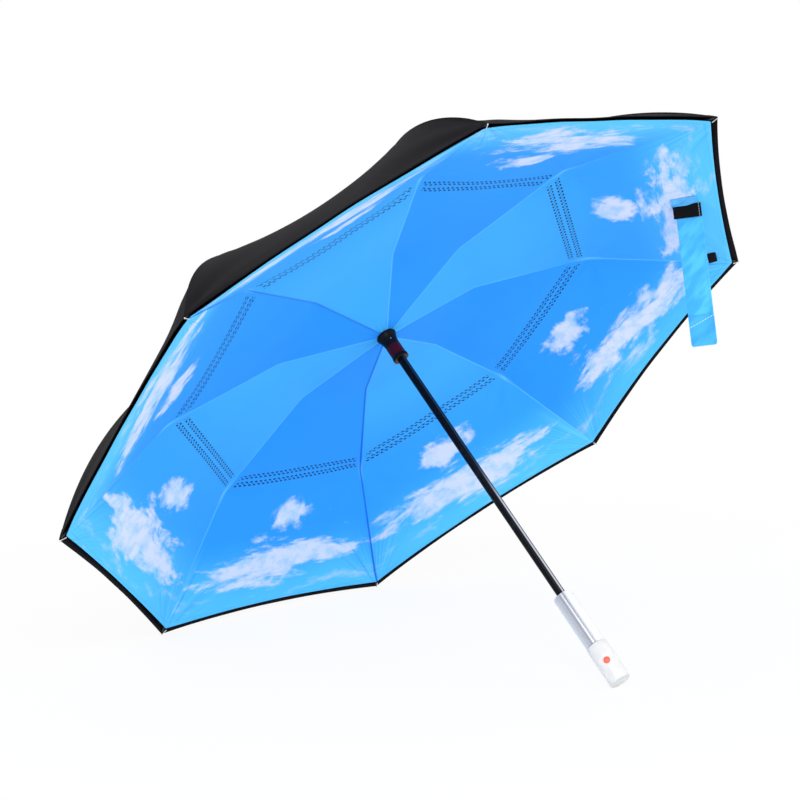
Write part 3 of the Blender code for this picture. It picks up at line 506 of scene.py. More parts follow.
def sky_cloth(settings, elbow_reach, end_reach):
    """Printed satin: blue gores in two tones, clouds towards the hem and two strips of small holes."""
    recipe = Recipe("sky_cloth", roughness=0.62, sheen_weight=0.03, specular_ior_level=0.12)
    across, reach = recipe.attribute("across"), recipe.attribute("reach")
    span, rib = recipe.attribute("span"), recipe.attribute("rib")
    after = across > 0.0
    gore = (rib + after + (RIBS - 0.99)).floor() % float(RIBS)
    light = gore % 2.0
    from_rib = abs(across)
    along = (after * 2 - 1) * (from_rib - span)
    cloth_place = recipe.vector(along, reach, gore * 3.7)
    inner = recipe.mix(light, tuple(settings.deep_blue), tuple(settings.light_blue))
    drift = recipe.noise(cloth_place, 6.0, 2.0)
    inner = recipe.mix(drift.smooth(0.35, 0.75) * 0.25, inner, tuple(settings.outer_blue))
    outwards = reach.smooth(elbow_reach * 0.55, elbow_reach + 0.06)
    blue = recipe.mix(outwards * 0.75, inner, tuple(settings.outer_blue))
    chance = recipe.noise(recipe.vector(gore * 5.3, 0.5, 0.5), 3.0, 0.0)
    second = recipe.noise(recipe.vector(0.5, gore * 4.1, 0.5), 3.0, 0.0)
    paler = (reach + drift * 0.06 + second * 0.05).smooth(end_reach - 0.08, end_reach + 0.06)
    blue = recipe.mix(paler, blue, tuple(settings.hem_blue))

    cloud = cloud_cover(recipe, along, reach, cloth_place, (chance, second), elbow_reach, end_reach)
    body = recipe.noise(cloth_place, 48.0, 5.0, 0.6)
    cloud_tint = recipe.mix(body.smooth(0.30, 0.60), CLOUD_SHADE, tuple(settings.cloud_white))
    print_colour = recipe.mix(cloud * 0.94, blue, cloud_tint)
    from_hem = end_reach - reach
    # Painted shade and highlight of the creases by the corners
    print_colour = painted_crease_shading(recipe, print_colour, from_rib, from_hem, gore, after)

    # Painted light along the seams: shade on ribs 2 and 5, highlight on the other ribs and by the elbows
    shaded_seam = rib.hump(2.0, 0.5).math("MAXIMUM", rib.hump(5.0, 0.5) * 0.75)
    seam_light_line = from_rib.hump(0.0, SEAM_WIDTH + shaded_seam * SHADED_SEAM_WIDER)
    elbow_highlight = from_rib.hump(0.0, ELBOW_HIGHLIGHT_WIDTH) * reach.hump(elbow_reach, ELBOW_HIGHLIGHT_LENGTH)
    pale = (seam_light_line * (1 - shaded_seam) * 0.45).math("MAXIMUM", elbow_highlight * 0.6)
    print_colour = recipe.mix(pale, print_colour, SEAM_HIGHLIGHT)
    print_colour = recipe.mix(seam_light_line * shaded_seam * 0.85, print_colour, SEAM_SHADE)
    hem_line = from_hem.hump(settings.hem_width, HEM_STITCH_WIDTH)
    print_colour = recipe.mix(hem_line * 0.25, print_colour, HEM_STITCH)
    holes = hole_rows(along, reach, elbow_reach - FIRST_HOLES_BEFORE_ELBOW)
    holes = holes + hole_rows(along, reach, elbow_reach - SECOND_HOLES_BEFORE_ELBOW)
    holes = holes * from_rib.smooth(*HOLES_FROM_RIB)
    print_colour = recipe.mix(holes * 0.97, print_colour, HOLE_DARK)

    threads = weave_height(along, reach, LINING_WEAVE)
    slub = recipe.noise(recipe.stretched(cloth_place, (1.0, 6.0, 1.0)), 160.0, 2.0)
    recipe.feed(base_color=print_colour, roughness=0.56 + slub * 0.14)
    return recipe.relief(threads * 0.3 + slub - holes * 2.0, 0.10, 0.0004).material


def black_cloth(settings):
    """Plain woven black cloth with a faint sheen."""
    recipe = Recipe("black_cloth", sheen_weight=0.004, sheen_roughness=0.45, specular_ior_level=0.03)
    across, reach = recipe.attribute("across"), recipe.attribute("reach")
    place = recipe.place()
    tone = recipe.noise(place, 7.0, 4.0)
    black = tuple(settings.cover_black)
    worn = tuple(value * 1.5 for value in black)
    colour = recipe.mix(tone.smooth(0.35, 0.75), black, worn)
    stitch = 1 - abs(across).smooth(*COVER_STITCH_EDGES)
    colour = recipe.mix(stitch * 0.6, colour, SEAM_BLACK)
    threads = weave_height(across, reach, COVER_WEAVE)
    fibre = recipe.noise(place, 900.0, 2.0)
    recipe.feed(base_color=colour, roughness=0.62 + fibre * 0.16)
    return recipe.relief(threads * 0.4 + fibre, 0.16, 0.0004).material


# Stitches on the strap and pads: their pitches, then where the lines lie and how wide they are

PATCH_HALF = 0.0078
WEBBING_RIB = 0.0013
EDGE_STITCH, EDGE_STITCH_OUT, EDGE_STITCH_WIDTH = 0.0042, 0.0148, 0.0006
FOLD_STITCH, FOLD_STITCH_SLANT, FOLD_STITCH_WIDTH = 0.0040, 0.42, 0.0007
FOLD_STITCH_DOWN = 0.0090
BOX_STITCH, BOX_HALF, BOX_STITCH_WIDTH, CROSS_STITCH_WIDTH = 0.0034, 0.0150, 0.0006, 0.0008
PAD_STITCH, PAD_STITCH_OUT, PAD_STITCH_WIDTH = 0.0034, 0.0160, 0.0007
THREAD_BLUE, THREAD_NAVY = (0.02, 0.16, 0.55), (0.02, 0.10, 0.42)
THREAD_WHITE, THREAD_GREY = (0.78, 0.86, 0.97), (0.55, 0.57, 0.62)


def woven_strap(recipe, colour, tone, down):
    """Ends a strap's recipe with its colour, dullness and ribs."""
    recipe.feed(base_color=colour, roughness=0.58 + tone * 0.16)
    return recipe.relief(ribbing(down, WEBBING_RIB) * 0.5 + tone, 0.14, 0.0004).material


def webbing(name, tint, shade, fold_from=None):
    """Blue woven strap with one stitched edge, painted shade in soft slanting bands for its creases, and a
    stitched line across it where it is folded.
    """
    recipe = Recipe(name, sheen_weight=0.10, specular_ior_level=0.3)
    down, out = recipe.attribute("down"), recipe.attribute("out")
    # Painted shade of soft slanting creases: a noise stretched along the diagonal blends the lit blue into the
    # shaded one
    crease_slant = recipe.vector((down + out) * 0.8, (down - out) * 0.25, 0.0)
    tone = recipe.noise(crease_slant, 62.0, 2.0)
    colour = recipe.mix(tone.smooth(0.38, 0.62), tint, shade)
    thread = out.hump(EDGE_STITCH_OUT, EDGE_STITCH_WIDTH) * dashes(down, EDGE_STITCH, 0.62)
    colour = recipe.mix(thread * 0.55, colour, THREAD_BLUE)
    if fold_from is not None:
        line = (down + out * FOLD_STITCH_SLANT).hump(fold_from, FOLD_STITCH_WIDTH)
        colour = recipe.mix(line * dashes(out, FOLD_STITCH, 0.7) * 0.85, colour, THREAD_WHITE)
    return woven_strap(recipe, colour, tone, down)


def sewn_patch():
    """The strap's sewn end: a boxed cross of dark stitches on blue."""
    recipe = Recipe("sewn_patch", sheen_weight=0.10, specular_ior_level=0.3)
    down, out = recipe.attribute("down"), recipe.attribute("out")
    tone = recipe.noise(recipe.vector(out, down, 0.0), 40.0, 4.0)
    colour = recipe.mix(tone.smooth(0.35, 0.7), (0.10, 0.50, 0.98), (0.17, 0.60, 0.98))
    from_middle = abs(down - PATCH_HALF)
    box = abs(out).hump(BOX_HALF, BOX_STITCH_WIDTH)
    box = box.math("MAXIMUM", from_middle.hump(BOX_HALF, BOX_STITCH_WIDTH))
    cross = (abs(out) - from_middle).hump(0.0, CROSS_STITCH_WIDTH)
    stitches = box.math("MAXIMUM", cross) * dashes(down + out, BOX_STITCH, 0.6)
    colour = recipe.mix(stitches * 0.7, colour, THREAD_NAVY)
    return woven_strap(recipe, colour, tone, down)


def pile(name):
    """Black hook and loop pile with a row of pale stitches beside one edge."""
    recipe = Recipe(name, sheen_weight=0.02, specular_ior_level=0.06)
    down, out = recipe.attribute("down"), recipe.attribute("out")
    place = recipe.place()
    tuft = recipe.noise(place, 1500.0, 2.0, 0.7)
    colour = recipe.mix(tuft.smooth(0.4, 0.7), (0.003, 0.003, 0.004), (0.014, 0.014, 0.016))
    edge = out.hump(PAD_STITCH_OUT, PAD_STITCH_WIDTH) * dashes(down, PAD_STITCH, 0.7)
    colour = recipe.mix(edge * 0.8, colour, THREAD_GREY)
    recipe.feed(base_color=colour, roughness=0.80 + tuft * 0.15)
    return recipe.relief(tuft, 0.5, 0.0006).material


DEEP_BLACK = (0.004, 0.004, 0.006)
PAINTS = {
    "black_steel": (DEEP_BLACK, (0.012, 0.012, 0.015), 0.26, 0.05),
    "zinc_steel": ((0.52, 0.53, 0.55), (0.30, 0.30, 0.31), 0.28, 0.0, 1.0),
    "black_plastic": (DEEP_BLACK, (0.012, 0.012, 0.014), 0.28, 0.05),
    "brass": ((0.070, 0.044, 0.022), (0.035, 0.022, 0.012), 0.34, 0.0, 1.0),
    "silver_tip": ((0.72, 0.73, 0.75), (0.50, 0.50, 0.52), 0.22, 0.0, 1.0),
}


def painted(name, colour, worn, roughness, coat=0.0, metallic=0.0):
    """Paint, plastic or plated metal with faint unevenness and worn patches."""
    level = 0.5 if metallic else 0.10
    recipe = Recipe(name, metallic=metallic, coat_roughness=0.08, specular_ior_level=level)
    place = recipe.place()
    broad = recipe.noise(place, 60.0, 4.0)
    fine = recipe.noise(place, 700.0, 3.0)
    rubbed = recipe.noise(place, 170.0, 6.0, 0.7).smooth(0.60, 0.78)
    tint = recipe.mix(rubbed * 0.5 + broad * 0.2, colour, worn)
    recipe.feed(base_color=tint, roughness=roughness + broad * 0.08 + fine * 0.05)
    if coat:
        recipe.feed(coat_weight=coat - rubbed * (coat / 2))
    return recipe.relief(fine + broad, 0.06, 0.0003).material


def drawn_rod(name, colour, worn, roughness):
    """Glass fibre rod: dark, with long fine fibres."""
    recipe = Recipe(name, specular_ior_level=0.45)
    place = recipe.place()
    fibre = recipe.noise(recipe.stretched(place, (1.0, 1.0, 0.2)), 900.0, 4.0, 0.7)
    colour = recipe.mix(fibre.smooth(0.35, 0.7), colour, worn)
    recipe.feed(base_color=colour, roughness=roughness + fibre * 0.15)
    return recipe.relief(fibre, 0.12, 0.0002).material


def sleeve_acrylic():
    """Clear acrylic with fine rubbing marks."""
    recipe = Recipe("clear_acrylic", specular_ior_level=0.5)
    place = recipe.place()
    haze = recipe.noise(place, 60.0, 4.0)
    scuff = recipe.noise(place, 260.0, 5.0, 0.7).smooth(0.55, 0.8)
    tint = recipe.mix(haze, (0.90, 0.90, 0.915), (0.84, 0.84, 0.86))
    recipe.feed(base_color=tint, roughness=0.08 + scuff * 0.10, alpha=0.10 + scuff * 0.06)
    return recipe.relief(scuff, 0.02, 0.0001).material


def milky_acrylic():
    """Solid acrylic that looks pale and slightly frosted."""
    recipe = Recipe("milky_acrylic", transmission_weight=0.35, ior=1.46)
    place = recipe.place()
    haze = recipe.noise(place, 55.0, 5.0, 0.6)
    scuff = recipe.noise(place, 400.0, 4.0, 0.7).smooth(0.55, 0.8)
    tint = recipe.mix(haze.smooth(0.35, 0.7), (0.91, 0.895, 0.87), (0.99, 0.98, 0.955))
    fleck = recipe.noise(place, 330.0, 2.0).smooth(0.66, 0.71)
    tint = recipe.mix(fleck * 0.30, tint, (0.95, 0.66, 0.62))
    recipe.feed(base_color=tint, roughness=0.16 + haze * 0.16 + scuff * 0.1)
    return recipe.relief(haze + scuff, 0.06, 0.0003).material


# The side that faces the camera, where the tube's and the shaft's painted reflections lie
FRONT = direction_at(-138.0)


def across_front(recipe):
    """Distance across a turned piece as the camera sees it, from -1 to 1, and 1 on its front half."""
    east, north = recipe.attribute("east"), recipe.attribute("north")
    cosine, sine = float(FRONT[0]), float(FRONT[1])
    return north * cosine - east * sine, (east * cosine + north * sine) > 0.0


# Painted reflections on the handle's tube, seen from the camera's side
TUBE_WHITE = (0.88, 0.88, 0.89)
TUBE_REFLECTED_GREY, TUBE_REFLECTED_PALE_GREY = (0.44, 0.45, 0.49), (0.74, 0.74, 0.77)
TUBE_REFLECTED_BANDS = (
    (-0.26, 0.17, (0.22, 0.22, 0.26)),
    (0.12, 0.12, (0.15, 0.14, 0.20)),
    (-0.04, 0.08, (0.96, 0.96, 0.97)),
)


def polished_tube():
    """Polished tube with painted reflections in long bands of grey, white and lilac down its length, on the half
    that faces the camera.
    """
    recipe = Recipe("polished_aluminium", metallic=0.25, specular_ior_level=0.4)
    side, front = across_front(recipe)
    down = recipe.attribute("down")
    colour = recipe.mix((1 - side.smooth(0.20, 0.42)) * front, TUBE_WHITE, TUBE_REFLECTED_GREY)
    colour = recipe.mix((1 - side.smooth(-1.0, -0.50)) * front, colour, TUBE_REFLECTED_PALE_GREY)
    for middle, width, tone in TUBE_REFLECTED_BANDS:
        colour = recipe.mix(side.hump(middle, width) * front * 0.9, colour, tone)
    brush = recipe.noise(recipe.vector(side * 40.0, 0.0, down * 2.0), 3.0, 2.0)
    recipe.feed(base_color=colour, roughness=0.26 + brush * 0.10)
    return recipe.relief(brush, 0.02, 0.0001).material


# Painted highlight and painted reflection down one side of the shaft, on the camera's side
GLEAM_MIDDLE, GLEAM_WIDTH, GLEAM_END = 0.64, 0.30, (0.27, 0.36)
PAINTED_HIGHLIGHT_PALE, PAINTED_REFLECTION_BLUE = (0.60, 0.61, 0.66), (0.02, 0.07, 0.16)


def gloss_paint():
    """Black paint with a long painted pale highlight beside the handle, which turns to a painted bluish reflection
    of the lining further up.
    """
    recipe = Recipe("gloss_paint", specular_ior_level=0.08)
    side, front = across_front(recipe)
    down = recipe.attribute("down")
    wear = recipe.noise(recipe.place(), 90.0, 5.0, 0.6)
    colour = recipe.mix(wear.smooth(0.55, 0.8), DEEP_BLACK, (0.014, 0.014, 0.018))
    # Painted highlight near the handle, painted reflection of the blue lining higher up
    painted_gleam = side.hump(GLEAM_MIDDLE, GLEAM_WIDTH) * front
    past = down.smooth(*GLEAM_END)
    colour = recipe.mix(painted_gleam * (1 - past) * 0.9, colour, PAINTED_HIGHLIGHT_PALE)
    colour = recipe.mix(painted_gleam * past * 0.5, colour, PAINTED_REFLECTION_BLUE)
    recipe.feed(base_color=colour, roughness=0.22 + wear * 0.10)
    return recipe.relief(wear, 0.03, 0.0002).material


def make_finishes(scene):
    canopy, fitting = scene.umbrella_canopy, scene.umbrella_fittings
    lining = LiningCloth(canopy)
    red, orange = tuple(fitting.band_red), tuple(fitting.button_orange)
    FINISHES.update({name: painted(name, *paint) for name, paint in PAINTS.items()})
    FINISHES.update({
        "sky_cloth": sky_cloth(canopy, lining.elbow_reach, lining.end_reach),
        "black_cloth": black_cloth(canopy),
        # Each pair of blues is the strap lit and in the painted shade of its creases
        "blue_webbing": webbing("blue_webbing", (0.085, 0.55, 1.0), (0.045, 0.42, 0.95)),
        "folded_webbing": webbing(
            "folded_webbing", (0.06, 0.46, 0.96), (0.040, 0.37, 0.90), FOLD_STITCH_DOWN),
        "sewn_patch": sewn_patch(),
        "black_pile": pile("black_pile"),
        "fibreglass": drawn_rod("fibreglass", (0.012, 0.012, 0.014), (0.040, 0.040, 0.044), 0.35),
        "red_plastic": painted("red_plastic", red, (0.09, 0.006, 0.014), 0.30, 0.05),
        "orange_plastic": painted("orange_plastic", orange, (0.80, 0.10, 0.055), 0.30, 0.3),
        "clear_acrylic": sleeve_acrylic(),
        "milky_acrylic": milky_acrylic(),
        "polished_aluminium": polished_tube(),
        "gloss_paint": gloss_paint(),
    })


# Cloths

class Seam:
    """A cloth's outline along a rib, from the hub to the hem, which can be rounded where it bends."""

    SAMPLES = 4000

    def __init__(self, corners):
        corners = np.array(corners, float)
        lengths = np.hypot(*np.diff(corners, axis=0).T)
        self.bends = np.concatenate(([0.0], np.cumsum(lengths)))
        self.length = self.bends[-1]
        self.reaches = np.linspace(0, self.length, self.SAMPLES)
        step = self.reaches[1]
        self.sums = []
        for values in corners.T:
            line = np.interp(self.reaches, self.bends, values)
            total = np.cumsum((line[1:] + line[:-1]) / 2 * step)
            self.sums.append(np.concatenate(([0.0], total)))

    def at(self, reach, rounding):
        """Radius and height at a reach, averaged over the rounding to either side."""
        half = np.minimum(rounding, np.minimum(reach, self.length - reach))
        half = np.maximum(half, self.reaches[1])
        low, high = reach - half, reach + half
        low = np.clip(low, 0, self.length - 2 * self.reaches[1])
        high = np.clip(high, low + self.reaches[1], self.length)
        ends = ((np.interp(high, self.reaches, total), np.interp(low, self.reaches, total))
                for total in self.sums)
        return [(upper - lower) / (high - low) for upper, lower in ends]


SMALL_STEP = 0.0008
FOLD_START, WAVE_HEIGHT = 0.03, 0.0006
SEAM_RIDGE, SEAM_RIDGE_WIDTH = 0.00035, 0.0013


class Cloth:
    """A cloth on the ribs. Its places are a rib, a turn from -1 to 1 about the rib, and a reach."""

    facing = 1

    def __init__(self, settings, seed):
        self.settings = settings
        self.phases = np.random.RandomState(seed).uniform(0, 2 * math.pi, (RIBS + 1, 8))

    def share(self, rib, turn):
        """Gore number and share across it."""
        gore = np.where(turn >= 0, rib, rib - 1)
        return gore, np.where(turn >= 0, turn / 2, 1 + turn / 2)

    def half(self, reach):
        """Half of a gore's width."""
        return self.radius(reach) * math.sin(HALF_GORE)

    def creases(self, gore, along, reach, corners):
        """Soft folds that fan out from a gore's sewn corners, over a faint unevenness.

        Each corner has its reach, the spread and depth of its folds, and their count.
        """
        phases = self.phases[gore % RIBS]
        lift = np.zeros_like(reach)
        for number, (corner, spread, depth, count) in enumerate(corners):
            half = self.half(corner)
            for side in (-1, 1):
                out, run = half - side * along, corner - reach
                distance = np.hypot(out, run)
                angle = np.arctan2(run, out)
                fan = np.exp(-(distance / spread) ** 2) * np.clip(distance / FOLD_START, 0, 1)
                lift += depth * fan * np.sin(count * angle + phases[..., 2 * number + (side > 0)])
        calm = np.clip(1 - np.abs(along) / self.half(reach), 0, 1)
        waves = np.sin(along * 38 + phases[..., 4]) * np.sin(reach * 31 + phases[..., 5])
        waves += np.sin((along + reach) * 55 + phases[..., 6]) * 0.5
        return lift + waves * WAVE_HEIGHT * calm

    def set_out(self, rib, turn, reach):
        """The surface between two ribs, with its direction inwards and the distance along each row."""
        gore, share = self.share(rib, turn)
        bulge = 4 * share * (1 - share)
        bowed = self.bowed(reach, bulge)
        radius, height = self.outline(reach, bulge)
        before, after = rib_directions(gore), rib_directions(gore + 1)
        direction = before * (1 - share)[..., None] + after * share[..., None]
        inside = np.clip(reach, SMALL_STEP, self.end_reach - SMALL_STEP)
        further = self.outline(inside + SMALL_STEP, bulge)
        nearer = self.outline(inside - SMALL_STEP, bulge)
        run = [high - low for high, low in zip(further, nearer)]
        length = np.hypot(*run)
        middle = rib_directions(gore + 0.5)
        inwards = middle * (run[1] / length)[..., None]
        inwards[..., 2] -= run[0] / length
        along = (2 * share - 1) * self.half(bowed)
        return gore, share, bulge, bowed, direction * radius[..., None], height, inwards, along

    def place(self, rib, turn, reach, lift):
        gore, share, bulge, bowed, flat, height, inwards, along = self.set_out(rib, turn, reach)
        across = (1 - np.abs(2 * share - 1)) * self.half(bowed)
        ridge = np.exp(-(across / SEAM_RIDGE_WIDTH) ** 2) * SEAM_RIDGE * self.facing
        rise = lift + ridge + self.drape(gore, bulge, bowed, along, share)
        places = flat + inwards * rise[..., None]
        places[..., 2] += height
        return places

    def run(self, rib, turn, reach, aside, out):
        """From a place a little before a place on the cloth to one as far past it."""
        still = np.zeros_like(reach)
        past = self.place(rib, turn + aside, reach + out, still)
        return past - self.place(rib, turn - aside, reach - out, still)

    def normals(self, rib, turn, reach):
        across = self.run(rib, turn, reach, 0.004, 0.0)
        return np.cross(across, self.run(rib, turn, reach, 0.0, SMALL_STEP))


HUB_HOLE, HUB_FLAT, HUB_REACH = 0.0095, 0.0140, 0.030
RIB_ROUNDING, GORE_ROUNDING = 0.005, 0.040
PLEAT_DEPTH, PLEAT_REACH, PLEATS = 0.0007, 0.012, 3


class LiningCloth(Cloth):
    """The blue lining: straight under the ribs, drawn a little towards the handle between them."""

    def __init__(self, settings):
        super().__init__(settings, 11)
        seat = LINING_SEAT + CLOTH_CLEARANCE
        self.seam = Seam([
            (HUB_HOLE, seat),
            (HUB_FLAT, seat),
            (KNEE[0], KNEE[1] - settings.knee_tie),
            (ELBOW[0], ELBOW[1] - settings.elbow_tie),
            (settings.lining_corner_radius, settings.lining_corner_height),
        ])
        self.hub_reach, self.knee_reach = HUB_REACH, self.seam.bends[2]
        self.elbow_reach, self.end_reach = self.seam.bends[3], self.seam.length

    def radius(self, reach):
        return self.seam.at(np.asarray(reach, float), 0.001)[0]

    def bowed(self, reach, bulge):
        outer = np.clip((reach - self.elbow_reach) / (self.end_reach - self.elbow_reach), 0, 1.2)
        return reach - self.settings.lining_bow * outer * bulge

    def outline(self, reach, bulge):
        bowed = np.clip(self.bowed(reach, bulge), 0, self.end_reach)
        return self.seam.at(bowed, RIB_ROUNDING + GORE_ROUNDING * bulge)

    def drape(self, gore, bulge, bowed, along, share):
        share_out = np.clip(bowed / self.end_reach, 0, 1)
        outer = np.clip((bowed - self.elbow_reach) / (self.end_reach - self.elbow_reach), 0, 1.1)
        sag = self.settings.sag * np.sin(math.pi * share_out) - self.settings.lining_lift * outer
        sag = sag * bulge
        corners = ((self.end_reach, 0.105, self.settings.crease_depth, 9),
                   (self.elbow_reach, 0.075, self.settings.crease_depth * 0.8, 7))
        pleats = PLEAT_DEPTH * np.cos(share * (2 * PLEATS) * math.pi)
        pleats *= np.exp(-((bowed - PLEAT_REACH) / PLEAT_REACH) ** 2)
        return sag + self.creases(gore, along, bowed, corners) * np.clip(bowed / 0.08, 0, 1) + pleats


class CoverCloth(Cloth):
    """The black cover: a dome that is flat over the crown and steep at the rim."""

    facing = -1
    dome_power, sag_power = 3.6, 2.5

    def __init__(self, settings):
        super().__init__(settings, 29)
        self.end_reach = settings.cover_corner_radius
        self.elbow_reach = ELBOW[0]
        self.crown_height = CROWN_TOP + CLOTH_CLEARANCE

    def radius(self, reach):
        return np.asarray(reach, float)

    def bowed(self, reach, bulge):
        outer = np.clip(reach / self.end_reach, 0, 1.1) ** self.dome_power
        return reach - self.settings.cover_bow * outer * bulge

    def outline(self, reach, bulge):
        corner = self.settings.cover_corner_height
        share = np.clip(reach / self.end_reach, 0, 1.1)
        height = corner + (self.crown_height - corner) * (1 - share ** self.dome_power)
        height += self.settings.cover_lift * share ** self.dome_power * bulge
        sunk = np.sin(math.pi * np.minimum(share, 1) ** self.sag_power)
        height -= self.settings.cover_sag * sunk * bulge
        return self.bowed(reach, bulge), height

    def drape(self, gore, bulge, bowed, along, share):
        corners = ((self.end_reach, 0.120, self.settings.crease_depth, 8),
                   (self.elbow_reach, 0.080, self.settings.crease_depth * 0.5, 7))
        return self.creases(gore, along, bowed, corners) * np.clip(bowed / 0.12 - 0.3, 0, 1)


SEAM_COLUMNS, SEAM_TURNS = np.array((0.0009, 0.0022)), (0.08, 0.16)


def turns(half, low, high, count):
    """Turns of a row's points, close together beside the rib's seam."""
    near = np.minimum(SEAM_COLUMNS / half, SEAM_TURNS)
    clear = near[1] * 1.7
    clear_of_seam = 0.25
    if low >= clear_of_seam or high <= -clear_of_seam:
        return np.linspace(low, high, count + 2)
    parts = []
    if low < 0:
        parts += [np.linspace(low, -clear, count), -near[::-1]]
    parts.append(np.zeros(1))
    if high > 0:
        parts += [near, np.linspace(clear, high, count)]
    return np.concatenate(parts)


FREE, JOINED, TURNED = 0, 1, 2
HEM_ROW, HEM_RAISED, HEM_ROUND = 0.0055, 0.0004, 0.0008


def rows_between(start, end, step, start_kind=JOINED, end_kind=JOINED):
    """Rows of a piece as reach, lift and kind."""
    count = max(2, round((end - start) / step) + 1)
    rows = [(reach, 0.0, FREE) for reach in np.linspace(start, end, count)]
    rows[0] = (start, 0.0, start_kind)
    rows[-1] = (end, 0.0, end_kind)
    return rows


def flap_rows(end, length, behind):
    """Rows that carry a piece on behind its neighbour, past the line where they meet."""
    shares = (0.12, 0.3, 0.65, 1.0)
    return [(end + length * share, behind * min(1, share * 4), FREE) for share in shares]


def hem_rows(start, end, width, side):
    """Rows out to a turned hem: a slightly raised band, its edge, and the edge turned under."""
    rows = rows_between(start, end - width * 1.15, HEM_ROW, JOINED, FREE)
    raised = HEM_RAISED * side
    rows += [(end - width, raised, FREE), (end - width / 2, raised * 1.3, FREE),
             (end - HEM_ROUND, raised, FREE), (end, 0.0, TURNED),
             (end - 0.0006, -raised * 1.6, TURNED), (end - width * 0.8, -raised * 1.6, TURNED)]
    return rows


def sew(name, cloth, rib, rows, low, high, count, slot_name):
    """Makes one piece of a cloth, and works out its flat size and area."""
    turn = np.array([turns(float(cloth.half(row[0])), low, high, count) for row in rows])
    reach, lift, kind = (np.repeat(np.array(column)[:, None], turn.shape[1], axis=1)
                         for column in zip(*rows))
    places = cloth.place(rib, turn, reach, lift)

    normals = np.cross(np.gradient(places, axis=1), np.gradient(places, axis=0))
    exact = cloth.normals(rib, turn, reach)
    edge = np.zeros(turn.shape, bool)
    edge[:, 0] = edge[:, -1] = True
    shared = (kind == JOINED) | (edge & (kind != TURNED))
    normals = np.where(shared[..., None], exact, normals) * cloth.facing
    normals /= np.maximum(np.linalg.norm(normals, axis=-1, keepdims=True), 1e-12)

    quads = grid_quads(np.arange(turn.size).reshape(turn.shape))
    if cloth.facing < 0:
        quads = quads[:, ::-1]
    world = to_world(places.reshape(-1, 3))
    _, share, _, bowed, *_ = cloth.set_out(rib, turn, reach)
    span = cloth.half(bowed)
    across = np.where(turn >= 0, 1, -1) * (1 - np.abs(2 * share - 1)) * span
    notes = {"across": across, "reach": bowed, "span": span, "rib": np.full(turn.shape, float(rib))}
    piece = make_piece(name, world, quads.tolist(), slot_name, notes)
    piece.data.normals_split_custom_set_from_vertices((normals.reshape(-1, 3) @ AXES).tolist())

    corners = world[quads]
    diagonals = np.cross(corners[:, 2] - corners[:, 0], corners[:, 3] - corners[:, 1])
    area = float(np.linalg.norm(diagonals, axis=1).sum() / 2)
    width, length = (float(np.linalg.norm(np.diff(places, axis=axis), axis=-1).sum(axis=axis).max())
                     for axis in (1, 0))
    return piece, (width, max(length, area / width)), area


def hang(piece, body):
    if body:
        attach(piece, body)


def narrow(piece):
    """Gives a piece a mesh of its own."""
    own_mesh(piece)


# The share of its width that a piece keeps in the folded umbrella
INNER_KEEP, MIDDLE_KEEP, OUTER_KEEP = 0.47, 0.31, 0.19

HUB_ROW, LINING_ROW, COVER_ROW = 0.0022, 0.0060, 0.0095
HUB_FLAP, KNEE_FLAP, ELBOW_FLAP, COVER_FLAP = 0.004, 0.018, 0.005, 0.006
HUB_BEHIND, BEHIND = 0.0006, 0.0012
COVER_HOLE = 0.0026


def make_lining(settings):
    cloth = LiningCloth(settings)
    hub, knee, elbow, end = cloth.hub_reach, cloth.knee_reach, cloth.elbow_reach, cloth.end_reach
    hub_rows = rows_between(0.0, hub, HUB_ROW, FREE) + [(hub + HUB_FLAP, -HUB_BEHIND, FREE)]
    inner_rows = rows_between(hub, knee, LINING_ROW) + flap_rows(knee, KNEE_FLAP, -BEHIND)
    middle_rows = rows_between(knee, elbow, LINING_ROW) + flap_rows(elbow, ELBOW_FLAP, -BEHIND)
    parts = (
        ("inner", inner_rows, 9, INNER_KEEP),
        ("middle", middle_rows, 14, MIDDLE_KEEP),
        ("outer", hem_rows(elbow, end, settings.hem_width, 1), 20, OUTER_KEEP),
    )
    height = at_height(LINING_SEAT + CLOTH_CLEARANCE)
    for rib in RIB_NUMBERS:
        piece, flat, area = sew(f"lining_hub_{rib}", cloth, rib, hub_rows, -1, 1, 6, "sky_cloth")
        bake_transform(piece)
        hang(piece, None)
        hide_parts("lining")
        for part, rows, count, keep in parts:
            body = f"{part}_rib_{rib}"
            name = f"lining_{part}_{rib}"
            piece, flat, area = sew(name, cloth, rib, rows, -1, 1, count, "sky_cloth")
            hang(piece, body)
            narrow(piece)
            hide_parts("lining")


def make_cover(settings):
    cloth = CoverCloth(settings)
    elbow, end = cloth.elbow_reach, cloth.end_reach
    inner_rows = rows_between(COVER_HOLE, elbow, COVER_ROW, FREE)
    inner_rows += flap_rows(elbow, COVER_FLAP, BEHIND)
    outer_rows = hem_rows(elbow, end, settings.hem_width, -1)
    for rib in RIB_NUMBERS:
        for quarter in range(4):
            low = -1 + quarter / 2
            name = f"cover_inner_{4 * (rib - 1) + quarter + 1:02d}"
            piece, flat, area = sew(name, cloth, rib, inner_rows, low, low + 0.5, 6, "black_cloth")
            hang(piece, "body")
            narrow(piece)
            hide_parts("outer_cover")
        body = f"outer_rib_{rib}"
        name = f"cover_outer_{rib}"
        piece, flat, area = sew(name, cloth, rib, outer_rows, -1, 1, 18, "black_cloth")
        hang(piece, body)
        narrow(piece)
        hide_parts("outer_cover")


# Strap and pads

